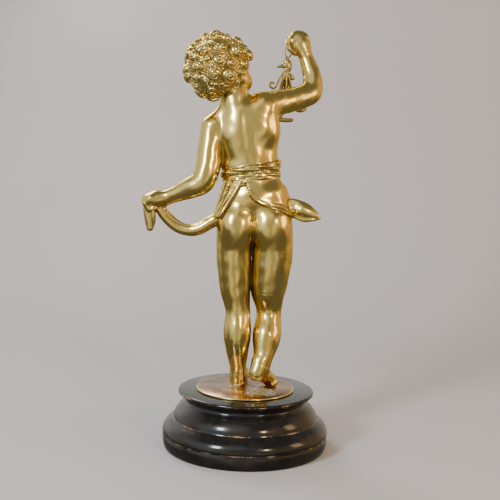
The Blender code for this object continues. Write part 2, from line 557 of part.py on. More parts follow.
def doubtful_cells():
    table = np.zeros(256, bool)
    for mask in range(256):
        inside = [i for i in range(8) if mask >> i & 1]
        outside = [i for i in range(8) if not mask >> i & 1]
        bad = pieces(inside) > 1 or pieces(outside) > 1
        for axis in range(3):
            for level in (0, 1):
                ring = [i for i in range(8) if CORNERS[i][axis] == level]
                bits = [mask >> i & 1 for i in ring]
                if bits[0] == bits[3] and bits[1] == bits[2] and bits[0] != bits[1]:
                    bad = True
        table[mask] = bad
    return table


def sample(field, low, high, step):
    block = 8
    counts = np.ceil((np.asarray(high, float) - low) / (step * block)).astype(int)
    grids = np.meshgrid(*[np.arange(n) for n in counts], indexing="ij")
    blocks = np.stack([g.ravel() for g in grids], 1)
    middle = low + (blocks * block + 0.5 * (block - 1)) * step
    guess = field(middle)
    shape = tuple(counts * block)
    value = np.repeat(np.repeat(np.repeat(guess.reshape(counts), block, 0), block, 1), block, 2)
    value = np.where(value < 0.0, -FAR, FAR)
    reach = 0.5 * np.sqrt(3.0) * block * step * 1.35 + 2.5
    near = blocks[np.abs(guess) < reach]
    cell = np.stack([g.ravel() for g in np.meshgrid(*[np.arange(block)] * 3, indexing="ij")], 1)
    for first in range(0, len(near), 600):
        index = (near[first:first + 600, None, :] * block + cell[None]).reshape(-1, 3)
        value[index[:, 0], index[:, 1], index[:, 2]] = field(low + index * step)
    return value.reshape(shape)


def cell_masks(inside):
    mask = np.zeros(tuple(n - 1 for n in inside.shape), np.uint8)
    for bit, (i, j, k) in enumerate(CORNERS):
        part = inside[i:inside.shape[0] - 1 + i, j:inside.shape[1] - 1 + j, k:inside.shape[2] - 1 + k]
        mask |= part.astype(np.uint8) << bit
    return mask


def largest(verts, faces):
    label = np.arange(len(verts))
    while True:
        lowest = label[faces].min(1)
        joined = label.copy()
        np.minimum.at(joined, faces.ravel(), np.repeat(lowest, 4))
        joined = joined[joined]
        if np.array_equal(joined, label):
            break
        label = joined
    keep = label == np.bincount(label).argmax()
    number = np.cumsum(keep) - 1
    return verts[keep], number[faces[keep[faces[:, 0]]]]


def skin(field, low, high, step):
    low = np.asarray(low, float)
    value = sample(field, low, high, step)
    doubtful = doubtful_cells()
    settled = np.zeros(value.shape, bool)
    for turn in range(40):
        mask = cell_masks(value < 0.0)
        cells = np.argwhere(doubtful[mask])
        if len(cells) == 0:
            break
        around = cells[:, None, :] + CORNERS[None]
        size = np.abs(value[around[..., 0], around[..., 1], around[..., 2]])
        size = np.where(settled[around[..., 0], around[..., 1], around[..., 2]], 10 * FAR, size)
        pick = np.unique(around[np.arange(len(cells)), size.argmin(1)], axis=0)
        if turn > 24:
            pick = np.unique(around.reshape(-1, 3), axis=0)
        old = value[pick[:, 0], pick[:, 1], pick[:, 2]]
        old = np.where(turn > 24, FAR, old)
        value[pick[:, 0], pick[:, 1], pick[:, 2]] = np.where(old < 0.0, 0.03, -0.03) * step
        settled[pick[:, 0], pick[:, 1], pick[:, 2]] = True
    cells = np.argwhere((mask > 0) & (mask < 255))
    around = cells[:, None, :] + CORNERS[None]
    v = value[around[..., 0], around[..., 1], around[..., 2]]
    total = np.zeros((len(cells), 3))
    count = np.zeros(len(cells))
    for a, b in EDGES:
        cross = (v[:, a] < 0.0) != (v[:, b] < 0.0)
        t = np.where(cross, v[:, a] / np.where(cross, v[:, a] - v[:, b], 1.0), 0.0)
        t = np.clip(t, 0.04, 0.96)
        point = CORNERS[a] + t[:, None] * (CORNERS[b] - CORNERS[a])
        total += point * cross[:, None]
        count += cross
    verts = low + (cells + total / count[:, None]) * step
    number = np.full(mask.shape, -1, np.int64)
    number[cells[:, 0], cells[:, 1], cells[:, 2]] = np.arange(len(cells))
    inside = value < 0.0
    faces = []
    for axis in range(3):
        u = (axis + 1) % 3
        w = (axis + 2) % 3
        first = [slice(1, -1)] * 3
        first[axis] = slice(0, -1)
        second = list(first)
        second[axis] = slice(1, None)
        a = inside[tuple(first)]
        b = inside[tuple(second)]
        edge = np.argwhere(a != b)
        flip = a[edge[:, 0], edge[:, 1], edge[:, 2]]
        base = edge.copy()
        base[:, u] += 1
        base[:, w] += 1
        step_u = np.zeros(3, int)
        step_u[u] = 1
        step_w = np.zeros(3, int)
        step_w[w] = 1
        quad = [base - step_u - step_w, base - step_w, base, base - step_u]
        quad = np.stack([number[c[:, 0], c[:, 1], c[:, 2]] for c in quad], 1)
        quad[~flip] = quad[~flip][:, ::-1]
        faces.append(quad)
    return largest(verts, np.vstack(faces))


def slope(field, points, reach=0.05):
    out = np.zeros_like(points)
    for axis in range(3):
        step = np.zeros(3)
        step[axis] = reach
        out[:, axis] = field(points + step) - field(points - step)
    return out / (2.0 * reach)


# Meshes

def enamel(name, colour, metallic, roughness):
    material = bpy.data.materials.new(name)
    material.use_nodes = True
    shader = material.node_tree.nodes["Principled BSDF"]
    shader.inputs["Base Color"].default_value = colour + (1.0,)
    shader.inputs["Metallic"].default_value = metallic
    shader.inputs["Roughness"].default_value = roughness
    return material


def mesh_object(name, verts, faces, material):
    mesh = bpy.data.meshes.new(name)
    mesh.from_pydata([tuple(v) for v in verts.tolist()], [], [tuple(f) for f in faces])
    mesh.materials.append(material)
    thing = bpy.data.objects.new(name, mesh)
    bpy.context.scene.collection.objects.link(thing)
    return thing


def thin_out(thing, triangles):
    thing.data.calc_loop_triangles()
    now = len(thing.data.loop_triangles)
    reduce = thing.modifiers.new("thin", "DECIMATE")
    reduce.ratio = min(1.0, triangles / now)
    reduce.use_collapse_triangulate = True
    graph = bpy.context.evaluated_depsgraph_get()
    mesh = bpy.data.meshes.new_from_object(thing.evaluated_get(graph))
    thing.modifiers.clear()
    old = thing.data
    thing.data = mesh
    bpy.data.meshes.remove(old)
    mesh.name = thing.name


def carved(name, field, low, high, step, triangles, material):
    verts, faces = skin(field, low, high, step)
    thing = mesh_object(name, verts, faces.tolist(), material)
    thin_out(thing, triangles)
    points = np.array([v.co[:] for v in thing.data.vertices])
    for _ in range(4):
        grade = slope(field, points)
        size = np.maximum((grade ** 2).sum(1), 0.25)
        value = field(points)
        near = np.clip(value, -0.15 * step, 0.15 * step)
        move = -np.where(np.abs(value) > 1.2 * step, value, near) / size
        points = points + grade * move[:, None]
    points = points * PART + np.array([0.0, 0.0, FIGURE_BASE])
    thing.data.vertices.foreach_set("co", points.ravel())
    thing.data.update()
    return thing


# Turned pieces

# The plinth's profile, radius and height of each point, as drawn at this diameter and height
DRAWN_DIAMETER = 0.1850
DRAWN_HEIGHT = 0.0645
PLINTH_PROFILE = (
    (0.0890, 0.0000), (0.0904, 0.0012), (0.0917, 0.0060), (0.0923, 0.0115), (0.0922, 0.0150),
    (0.0912, 0.0163), (0.0924, 0.0177), (0.0925, 0.0198), (0.0914, 0.0236), (0.0890, 0.0273),
    (0.0853, 0.0305), (0.0818, 0.0325), (0.0805, 0.0337), (0.0804, 0.0356), (0.0788, 0.0402),
    (0.0752, 0.0452), (0.0706, 0.0494), (0.0676, 0.0520), (0.0669, 0.0538), (0.0680, 0.0562),
    (0.0709, 0.0586), (0.0741, 0.0603), (0.0755, 0.0616), (0.0757, 0.0629), (0.0749, 0.0641),
    (0.0732, 0.0645))


def turned(name, profile, segments, shift, material):
    verts = []
    for radius, height in profile:
        for i in range(segments):
            turn = 2 * np.pi * i / segments
            verts.append((shift + radius * np.cos(turn), radius * np.sin(turn), height))
    rings = len(profile)
    faces = []
    for ring in range(rings - 1):
        for i in range(segments):
            j = (i + 1) % segments
            faces.append((ring * segments + i, ring * segments + j, (ring + 1) * segments + j,
                          (ring + 1) * segments + i))
    low = len(verts)
    verts.append((shift, 0.0, profile[0][1]))
    verts.append((shift, 0.0, profile[-1][1]))
    last = (rings - 1) * segments
    for i in range(segments):
        j = (i + 1) % segments
        faces.append((low, j, i))
        faces.append((low + 1, last + i, last + j))
    return mesh_object(name, np.array(verts), faces, material)


def main():
    for thing in list(bpy.data.objects):
        bpy.data.objects.remove(thing, do_unlink=True)
    wood = enamel("ebonised_wood", (0.012, 0.010, 0.010), 0.0, 0.25)
    plate = enamel("disc_brass", (0.55, 0.36, 0.20), 1.0, 0.32)
    brass = enamel("polished_brass", (0.72, 0.52, 0.20), 1.0, 0.22)
    wire = enamel("sprig_brass", (0.50, 0.37, 0.16), 1.0, 0.36)
    wider = PLINTH_DIAMETER / DRAWN_DIAMETER
    taller = PLINTH_HEIGHT / DRAWN_HEIGHT
    plinth = [(radius * wider, height * taller) for radius, height in PLINTH_PROFILE]
    turned("wood_plinth", plinth, PLINTH_SEGMENTS, 0.0, wood)
    radius = DISC_DIAMETER / 2
    low = PLINTH_HEIGHT + REST_GAP
    soft = 0.0005
    disc = ((radius - soft, low), (radius, low + soft), (radius, DISC_TOP - soft),
            (radius - soft, DISC_TOP))
    turned("brass_disc", disc, DISC_SEGMENTS, DISC_SHIFT, plate)
    carved("boy_figure", figure, (-96, -72, -6), (132, 56, 412), FIGURE_STEP, FIGURE_TRIANGLES, brass)
    carved("hanging_sprig", held_sprig, (-64, -62, 290), (-8, -42, 400), SPRIG_STEP, SPRIG_TRIANGLES, wire)


main()
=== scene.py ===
from concurrent.futures import ThreadPoolExecutor
import bmesh
import bpy
import numpy as np
from mathutils import Matrix


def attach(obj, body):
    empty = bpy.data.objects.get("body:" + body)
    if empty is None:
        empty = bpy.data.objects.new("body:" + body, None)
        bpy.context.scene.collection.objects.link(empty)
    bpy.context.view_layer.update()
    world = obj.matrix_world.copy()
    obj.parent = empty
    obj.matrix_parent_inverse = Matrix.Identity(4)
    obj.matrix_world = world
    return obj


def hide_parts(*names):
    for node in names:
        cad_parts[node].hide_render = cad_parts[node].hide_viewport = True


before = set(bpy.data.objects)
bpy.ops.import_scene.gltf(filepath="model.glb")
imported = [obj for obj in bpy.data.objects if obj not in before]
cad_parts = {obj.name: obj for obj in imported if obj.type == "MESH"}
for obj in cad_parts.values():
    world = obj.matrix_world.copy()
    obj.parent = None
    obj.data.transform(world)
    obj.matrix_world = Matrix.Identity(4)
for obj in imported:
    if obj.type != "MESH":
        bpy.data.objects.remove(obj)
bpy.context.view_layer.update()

# Overall sizes, in metres
TOTAL_HEIGHT = 0.4700
PLINTH_HEIGHT = 0.0645
DISC_DIAMETER = 0.1094
DISC_THICKNESS = 0.0021
DISC_SHIFT = 0.0010
REST_GAP = 0.0003
DISC_TOP = PLINTH_HEIGHT + REST_GAP + DISC_THICKNESS
FIGURE_BASE = DISC_TOP + REST_GAP
FIGURE_HEIGHT = TOTAL_HEIGHT - FIGURE_BASE
CANON = 403.0
PART = FIGURE_HEIGHT / CANON

# Fineness of the carving, in parts of the canon
COARSE = 1.0
BODY_STEP = 0.98 * COARSE
HEAD_STEP = 0.50 * COARSE
SPRIG_STEP = 0.34 * COARSE
MOST_TRIANGLES = 192000
TURNED_SEGMENTS = 256
SPRIG_CLEARANCE = 0.35
HEAD_BALL = (37.0, 1.0, 350.0)
HEAD_BALL_RADIUS = 47.0
FAR = 60.0
POOL = ThreadPoolExecutor(4)


# Soft solids

def blend(a, b, k):
    h = np.maximum(k - np.abs(a - b), 0.0) / k
    return np.minimum(a, b) - h * h * k * 0.25


def carve(a, b, k):
    return -blend(-a, b, k)


def ramp(low, high, value):
    t = np.clip((value - low) / (high - low), 0.0, 1.0)
    return t * t * (3.0 - 2.0 * t)


def oval(p, centre, radii, axes=None):
    q = p - np.asarray(centre, float)
    if axes is not None:
        q = q @ np.asarray(axes, float).T
    r = np.asarray(radii, float)
    k0 = np.sqrt(((q / r) ** 2).sum(1))
    k1 = np.sqrt(((q / (r * r)) ** 2).sum(1))
    return k0 * (k0 - 1.0) / np.maximum(k1, 1e-9)


def limb(p, a, b, ra, rb, deep=1.0):
    s = np.array([1.0, 1.0 / deep, 1.0])
    a = np.asarray(a, float) * s
    b = np.asarray(b, float) * s
    q = p * s - a
    d = b - a
    h = np.clip(q @ d / (d @ d), 0.0, 1.0)
    return np.sqrt(((q - h[:, None] * d) ** 2).sum(1)) - (ra + (rb - ra) * h)


def chain(p, knots, deep=1.0):
    out = None
    for first, second in zip(knots[:-1], knots[1:]):
        piece = limb(p, first[:3], second[:3], first[3], second[3], deep)
        out = piece if out is None else np.minimum(out, piece)
    return out


def flowing(knots, cuts=5):
    k = np.asarray(knots, float)
    k = np.vstack([2 * k[0] - k[1], k, 2 * k[-1] - k[-2]])
    rows = []
    for i in range(1, len(k) - 2):
        for t in np.arange(cuts) / cuts:
            a = -0.5 * k[i - 1] + 1.5 * k[i] - 1.5 * k[i + 1] + 0.5 * k[i + 2]
            b = k[i - 1] - 2.5 * k[i] + 2.0 * k[i + 1] - 0.5 * k[i + 2]
            c = -0.5 * k[i - 1] + 0.5 * k[i + 1]
            rows.append(((a * t + b) * t + c) * t + k[i])
    rows.append(k[-2])
    return rows


def sweep(p, knots, deep=1.0):
    s = np.array([1.0, 1.0 / deep, 1.0])
    q = p * s
    best = np.full(len(p), 1e9)
    girth = np.zeros(len(p))
    rows = flowing(knots, 9)
    for first, second in zip(rows[:-1], rows[1:]):
        along = (second[:3] - first[:3]) * s
        r = q - first[:3] * s
        h = np.clip(r @ along / (along @ along), 0.0, 1.0)
        away = ((r - h[:, None] * along) ** 2).sum(1)
        girth = np.where(away < best, first[3] + (second[3] - first[3]) * h, girth)
        best = np.minimum(away, best)
    return np.sqrt(best) - girth


def within(p, low, high, make):
    out = np.full(len(p), FAR)
    keep = np.all((p > np.asarray(low, float)) & (p < np.asarray(high, float)), axis=1)
    if keep.any():
        out[keep] = make(p[keep])
    return out


# Head: turned to the figure's right and lifted
HEAD = np.array([36.6, 1.0, 347.0])
HEAD_TURN = np.radians(42.0)
HEAD_LIFT = np.radians(14.0)
FORWARD = np.array([
    -np.sin(HEAD_TURN) * np.cos(HEAD_LIFT),
    -np.cos(HEAD_TURN) * np.cos(HEAD_LIFT),
    np.sin(HEAD_LIFT)])
LEFTWARD = np.array([np.cos(HEAD_TURN), -np.sin(HEAD_TURN), 0.0])
UPWARD = np.cross(FORWARD, LEFTWARD)
HEAD_AXES = np.array([FORWARD, LEFTWARD, UPWARD])
CRANIUM = np.array([-4.0, 0.0, 6.0])
CRANIUM_RADII = np.array([34.5, 29.0, 30.0])


def face(q):
    d = oval(q, CRANIUM, CRANIUM_RADII)
    d = blend(d, oval(q, (8.0, 0.0, -9.0), (22.5, 22.5, 23.0)), 6.0)
    d = blend(d, oval(q, (11.0, 0.0, 11.0), (19.5, 23.0, 18.0)), 6.0)
    d = blend(d, oval(q, (18.5, 0.0, -25.5), (8.0, 8.5, 6.5)), 8.0)
    for side in (-1.0, 1.0):
        d = blend(d, oval(q, (17.5, side * 12.5, -14.5), (11.0, 10.5, 11.0)), 5.0)
        d = carve(d, oval(q, (33.5, side * 10.4, -2.4), (7.0, 6.6, 4.2)), 3.5)
        eye = np.array([23.6, side * 10.2, -3.2])
        ball = oval(q, eye, (6.1, 6.1, 6.1))
        lid = oval(q, eye, (6.9, 7.0, 6.9))
        upper = np.maximum(lid, 1.1 - (q[:, 2] - eye[2]) + 0.10 * np.abs(q[:, 1] - eye[1]))
        lower = np.maximum(lid, 2.3 + (q[:, 2] - eye[2]))
        d = blend(d, ball, 0.8)
        d = blend(d, upper, 0.7)
        d = blend(d, lower, 0.7)
        d = carve(d, oval(q, eye + (6.2, -side * 0.4, 0.0), (0.9, 1.1, 1.1)), 0.4)
        brow = [(30.6, side * 4.0, 3.4, 1.5), (29.8, side * 9.5, 5.0, 1.7), (26.6, side * 16.0, 3.4, 1.1)]
        d = blend(d, chain(q, brow), 4.0)
        d = blend(d, oval(q, (31.4, side * 3.3, -12.0), (3.2, 2.3, 2.2)), 1.5)
        lip = [(33.0, side * 0.9, -18.4, 1.35), (31.9, side * 4.0, -18.9, 1.15),
               (29.8, side * 6.6, -19.7, 0.7)]
        d = blend(d, chain(q, lip), 1.2)
        d = blend(d, chain(q, [(32.2, 0.0, -21.7, 1.9), (31.2, side * 4.2, -21.3, 1.2)]), 1.2)
        d = carve(d, chain(q, [(34.6, 0.0, -19.9, 0.55), (31.0, side * 7.2, -20.0, 0.45)]), 0.8)
        d = carve(d, oval(q, (33.8, side * 1.9, -13.8), (1.2, 0.9, 1.0)), 0.8)
        ear = oval(q, (3.0, side * 27.6, -8.0), (4.8, 3.2, 7.6))
        ear = carve(ear, oval(q, (4.0, side * 31.0, -7.5), (2.8, 2.2, 5.2)), 1.0)
        d = blend(d, ear, 2.0)
    d = blend(d, chain(q, [(28.6, 0.0, 0.5, 2.6), (32.4, 0.0, -7.5, 2.6), (33.8, 0.0, -11.2, 3.2)]), 3.0)
    d = carve(d, chain(q, [(34.4, 0.0, -15.4, 0.7), (34.6, 0.0, -17.3, 0.8)]), 1.2)
    return d


# Hair: snail curls in rows over the cranium, larger ones where the back of the head shows them
CURL_ROWS = 9
CURL_PITCH = 12.4
CURL_RADIUS = 7.6
CURL_STRAND = 3.5
CURL_CUT = 1.0
CURLS_SEEN = (
    (-0.67, -0.34, 0.66, 7.0), (-0.26, -0.15, 0.95, 6.0), (-0.05, -0.25, 0.97, 6.5),
    (0.11, -0.42, 0.9, 6.0), (-0.31, -0.69, 0.65, 5.5), (0.03, -0.89, 0.46, 8.3),
    (0.72, -0.66, 0.23, 7.1), (0.53, -0.45, 0.72, 6.5), (-0.61, -0.75, 0.25, 7.8),
    (-0.41, -0.88, -0.25, 9.2), (-0.75, -0.66, -0.1, 8.1), (-0.43, -0.73, -0.54, 6.8),
    (-0.71, -0.33, -0.62, 6.5), (-0.43, -0.39, -0.81, 4.8), (-0.13, -0.57, -0.81, 4.8),
    (-0.98, -0.04, -0.18, 5.7), (-0.92, 0.37, -0.11, 4.8), (-0.9, 0.42, 0.09, 4.6),
    (-0.97, -0.19, 0.15, 6.5), (-0.88, -0.02, 0.47, 7.2), (-0.67, 0.58, 0.46, 5.0),
    (-0.47, 0.34, 0.81, 6.3), (0.2, -0.98, 0.01, 5.5), (0.03, -0.97, -0.24, 5.0),
    (-0.01, -0.83, -0.55, 4.8), (-0.86, 0.12, -0.49, 5.0), (-0.33, -0.93, 0.13, 5.5),
    (-0.88, -0.35, -0.33, 5.5), (-0.8, -0.46, 0.39, 4.6), (0.38, -0.8, 0.4, 6.4),
    (0.42, -0.85, -0.06, 4.6), (0.7, -0.52, 0.46, 5.6), (0.74, -0.26, 0.6, 6.2),
    (0.8, 0.02, 0.6, 5.4), (0.74, 0.3, 0.6, 6.4), (0.7, 0.56, 0.42, 6.0),
    (0.6, 0.76, 0.2, 6.4), (0.44, 0.88, -0.02, 5.4))
LOCK = (
    ((54.7, 29.5, 332.0, 2.3), (54.0, 25.0, 325.5, 2.5), (50.5, 17.0, 319.2, 2.5), (45.0, 14.0, 315.8, 2.3),
     (39.0, 15.5, 317.2, 1.8)),
    ((50.4, 31.5, 331.9, 2.3), (49.6, 26.0, 325.3, 2.5), (45.2, 19.5, 320.5, 2.4), (38.5, 17.5, 319.4, 1.8)),
    ((46.2, 32.0, 331.0, 2.3), (44.2, 26.5, 325.4, 2.4), (39.6, 21.5, 322.4, 2.3), (34.5, 18.5, 321.4, 1.7)),
    ((41.5, 32.0, 330.7, 2.2), (38.4, 27.0, 326.1, 2.3), (33.8, 22.0, 324.0, 1.9)))
HAIRLINE_FORWARD = (-1.0, -0.5, 0.0, 0.25, 0.55, 0.72, 0.86, 1.0)
HAIRLINE_HEIGHT = (-0.64, -0.84, -0.62, -0.16, 0.02, 0.18, 0.48, 0.78)


def hair_grows(direction):
    return direction[2] > np.interp(direction[0], HAIRLINE_FORWARD, HAIRLINE_HEIGHT)


def curl_list():
    curls = [(np.array(row[:3]), row[3], 1.0 if i % 2 else -1.0, 1.3 * i) for i, row in enumerate(CURLS_SEEN)]
    taken = len(curls)
    for row in range(CURL_ROWS + 1):
        angle = np.pi * (row / CURL_ROWS) * 0.86
        ring = max(1, int(round(2 * np.pi * 33.0 * np.sin(angle) / CURL_PITCH)))
        for step in range(ring):
            turn = 2 * np.pi * (step + 0.5 * (row % 2)) / ring + 0.19 * np.sin(3.0 * row + 5.0 * step)
            tip = angle + 0.07 * np.sin(7.0 * row + 2.3 * step)
            way = np.array([np.sin(tip) * np.cos(turn), np.sin(tip) * np.sin(turn), np.cos(tip)])
            size = CURL_RADIUS * (1.0 + 0.16 * np.sin(2.1 * row + 3.7 * step))
            clear = all(np.linalg.norm(way - c[0]) * 33.0 > 0.80 * (size + c[1]) for c in curls[:taken])
            if hair_grows(way) and clear:
                curls.append((way, size, 1.0 if (row + step) % 2 else -1.0, 1.7 * row + 2.9 * step))
    return curls


def curl(q, way, size, hand, phase):
    foot = CRANIUM + way * CRANIUM_RADII
    normal = way / CRANIUM_RADII
    normal = normal / np.linalg.norm(normal)
    side = np.cross(normal, [0.3, 0.2, 1.0])
    side = side / np.linalg.norm(side)
    other = np.cross(normal, side)
    r = q - (foot + normal * (0.6 + 0.12 * size) * (1.0 + np.clip(2.0 * way[2] + 1.0, 0.0, 1.0)))
    a = r @ side
    b = r @ other
    reach = np.sqrt(a * a + b * b)
    inner = 0.24 * size * np.clip(1.0 - reach / size, 0.0, 1.0)
    a2 = a - inner * np.cos(phase)
    b2 = b - inner * np.sin(phase)
    coil = np.sqrt(a2 * a2 + b2 * b2)
    dome = oval(np.stack([a, b, r @ normal], 1), (0, 0, 0), (size, size, size * 0.80))
    ridge = np.abs(np.cos(np.pi * coil / CURL_STRAND - 0.5 * hand * np.arctan2(b2, a2) + 0.5 * phase))
    return dome + CURL_CUT * (1.0 - ridge) ** 2 * ramp(0.2, 1.4, coil)


def hair(q):
    way = (q - CRANIUM) / CRANIUM_RADII
    way = way / np.maximum(np.sqrt((way ** 2).sum(1)), 1e-6)[:, None]
    edge = way[:, 2] - np.interp(way[:, 0], HAIRLINE_FORWARD, HAIRLINE_HEIGHT)
    level = q[:, 2] + 2.6 * np.sin(0.30 * q[:, 0]) + 2.6 * np.sin(0.27 * q[:, 1] + 1.0)
    wave = np.abs(np.cos(0.90 * level))
    d = np.maximum(oval(q, CRANIUM, CRANIUM_RADII + 3.2) + CURL_CUT * (1.0 - wave), -26.0 * edge)
    for way, size, hand, phase in curl_list():
        foot = CRANIUM + way * CRANIUM_RADII
        near = np.abs(q - foot).max(1) < size * 1.9
        if near.any():
            d[near] = blend(d[near], curl(q[near], way, size, hand, phase), 0.5)
    return d


def lock(p):
    d = np.full(len(p), FAR)
    for strand in LOCK:
        d = blend(d, sweep(p, strand), 0.3)
    return d


def head(p):
    q = (p - HEAD) @ HEAD_AXES.T
    return blend(blend(face(q), hair(q), 1.0), within(p, (26, 2, 306), (66, 42, 342), lock), 0.5)


# Torso and legs

def leg(p, knots, seat, seat_radii):
    return blend(sweep(p, knots, 1.10), oval(p, seat, seat_radii), 7.0)


def torso(p):
    d = oval(p, (2.5, -1.0, 284.0), (31.0, 23.0, 35.0))
    d = blend(d, oval(p, (3.0, -4.5, 248.0), (31.5, 26.0, 30.0)), 12.0)
    d = blend(d, oval(p, (-3.5, -1.0, 212.0), (36.0, 26.0, 25.0)), 12.0)
    d = blend(d, limb(p, (36.5, 1.0, 288.0), (-3.0, 1.0, 307.0), 12.8, 14.2), 10.0)
    d = blend(d, limb(p, (17.0, 4.0, 304.0), (25.0, 0.0, 332.0), 15.6, 15.5), 7.0)
    d = blend(d, limb(p, (28.0, 3.0, 312.0), (46.0, 2.0, 288.0), 6.5, 8.5), 7.0)
    d = blend(d, oval(p, (-13.0, 4.0, 314.0), (10.0, 9.0, 11.0)), 12.0)
    for x, y, z, tilt in ((18.0, 9.8, 281.0, 0.24), (-9.0, 6.2, 293.0, -0.40)):
        blade = oval(p, (x, y, z), (12.5, 9.6, 20.0), [
            (np.cos(tilt), 0.0, np.sin(tilt)), (0.0, 1.0, 0.0), (-np.sin(tilt), 0.0, np.cos(tilt))])
        d = blend(d, blade, 12.0)
    armpit = flowing([(-19.0, 23.0, 310.0, 0.8), (-22.0, 22.0, 299.0, 1.0), (-23.5, 20.0, 288.0, 0.6)], 4)
    d = carve(d, chain(p, armpit), 7.0)
    spine = flowing([(11.0, 26.0, 306.0, 1.4), (6.5, 27.0, 285.0, 2.0), (3.0, 26.5, 265.0, 2.0),
                     (-1.0, 26.0, 246.0, 1.6), (-3.0, 29.0, 228.0, 1.0)], 4)
    d = carve(d, chain(p, spine), 6.5)
    for x in (16.0, -14.0):
        d = blend(d, oval(p, (x, -16.0, 287.0 - 0.12 * x), (13.0, 8.5, 9.5)), 6.0)
        d = blend(d, oval(p, (x * 1.05, -24.8, 284.0 - 0.12 * x), (1.2, 1.0, 1.2)), 1.0)
    d = carve(d, oval(p, (0.0, -31.4, 236.0), (1.9, 2.6, 2.3)), 2.2)
    return d


def trunk(p):
    core = within(p, (-60, -45, 160), (60, 45, 350), torso)
    left = within(p, (-24, -45, 0), (60, 45, 228), lambda r: leg(r, [
        (17.5, 0.0, 190.0, 20.0), (17.6, -1.0, 150.0, 19.6), (15.2, -1.5, 110.0, 16.9),
        (11.5, -1.0, 86.0, 13.8), (11.4, 2.0, 62.0, 15.4), (10.8, 1.0, 42.0, 12.8),
        (9.6, -4.0, 22.0, 9.3), (9.4, -5.0, 12.0, 8.8)],
        (14.5, 10.0, 180.0), (20.0, 19.0, 25.0)))
    right = within(p, (-60, -45, 0), (24, 45, 228), lambda r: leg(r, [
        (-24.5, -1.0, 188.0, 21.4), (-25.0, -3.0, 150.0, 22.6), (-21.8, -7.0, 112.0, 20.4),
        (-23.3, -9.5, 84.0, 14.1), (-21.5, -1.0, 58.0, 16.2), (-19.0, 7.0, 40.0, 12.0),
        (-16.0, 13.5, 26.0, 9.6)],
        (-21.5, 10.0, 181.0), (21.5, 19.0, 25.0)))
    both = blend(blend(core, left, 9.0), blend(core, right, 9.0), 1.2)
    crease = flowing([(-10.0, 29.5, 157.5, 0.9), (-22.0, 30.0, 154.0, 1.0), (-36.0, 24.0, 157.0, 0.7)], 3)
    both = carve(both, chain(p, crease), 2.6)
    crease = flowing([(4.0, 28.0, 157.0, 0.7), (14.0, 28.5, 154.5, 0.9), (27.0, 24.0, 157.5, 0.6)], 3)
    return carve(both, chain(p, crease), 2.6)


def foot(p, heel, turn, lift, inner):
    c = np.cos(turn)
    s = np.sin(turn)
    q = p - np.array([heel[0], heel[1], 0.0])
    q = np.stack([-s * q[:, 0] - c * q[:, 1], inner * (c * q[:, 0] - s * q[:, 1]), q[:, 2]], 1)
    d = oval(q, (1.0, 0.0, 6.5 + lift), (8.4, 7.6, 10.5))
    d = blend(d, limb(q, (2.0, 0.0, 6.5 + lift), (31.0, 0.6, 6.2), 7.0, 6.6, 1.30), 4.0)
    d = blend(d, limb(q, (5.0, 0.0, 19.0 + lift), (28.0, 1.5, 8.5), 8.0, 5.4), 6.0)
    for i in range(5):
        across = 7.4 - 3.7 * i
        reach = 47.0 - 1.0 * i - 0.75 * i * i
        size = 3.9 if i == 0 else 3.0 - 0.14 * i
        toe = chain(q, [(31.0, across, 5.6, size + 0.4), (reach - 5.0, across, size + 1.2, size * 0.92),
                        (reach, across, size + 0.2, size)])
        d = blend(d, toe, 1.1)
        d = carve(d, oval(q, (reach + 1.2, across, 2 * size + 0.4), (2.0, size * 0.62, 0.7)), 0.4)
    if lift > 0.0:
        sole = limb(q, (-7.0, 0.0, lift - 3.4), (21.0, 0.0, -4.0), 5.4, 4.6, 1.2)
        d = carve(d, sole, 0.6)
    else:
        d = blend(d, limb(q, (-0.6, 0.0, 3.0), (9.0, 0.0, 3.0), 8.0, 7.4), 3.0)
    return np.maximum(d, -p[:, 2])


# Hands: closed around what they hold

def fist(p, wrist, reach, back, size=1.0):
    reach = np.asarray(reach, float) / np.linalg.norm(reach)
    back = np.asarray(back, float)
    back = back - reach * (back @ reach)
    back = back / np.linalg.norm(back)
    thumb = np.cross(reach, back)
    return (p - np.asarray(wrist, float)) @ np.array([reach, thumb, back]).T / size


def closed_hand(q, side):
    q = q * np.array([1.0, side, 1.0])
    d = oval(q, (9.4, 0.4, -0.4), (12.6, 10.2, 7.0))
    d = blend(d, oval(q, (12.0, 2.5, -5.0), (7.0, 8.0, 5.0)), 1.5)
    d = blend(d, limb(q, (-2.0, 0.0, 0.0), (6.0, 0.0, 0.0), 6.2, 6.6), 4.0)
    for i in range(4):
        across = 6.9 - 4.5 * i
        bend = 1.0 - 0.05 * abs(i - 1.0)
        knuckle = (19.6 * bend, across * 0.96, -3.4, 2.8)
        d = blend(d, chain(q, [(13.5 * bend, across, 1.8, 3.1), knuckle]), 2.4)
        folded = chain(q, [knuckle, (16.5 * bend, across * 0.94, -9.4, 2.5), (9.5, across * 0.92, -8.6, 2.3)])
        d = blend(d, folded, 0.9)
    thumb = [(3.0, 7.5, -2.0, 4.0), (10.5, 10.4, -6.5, 3.2), (17.0, 7.0, -9.5, 2.7), (18.6, 3.6, -10.4, 2.3)]
    return blend(d, chain(q, flowing(thumb, 3)), 1.2)


HAND_SIZE = 1.16
LEFT_WRIST = (96.0, -2.0, 208.5)
RIGHT_WRIST = (-54.5, -47.5, 377.8)


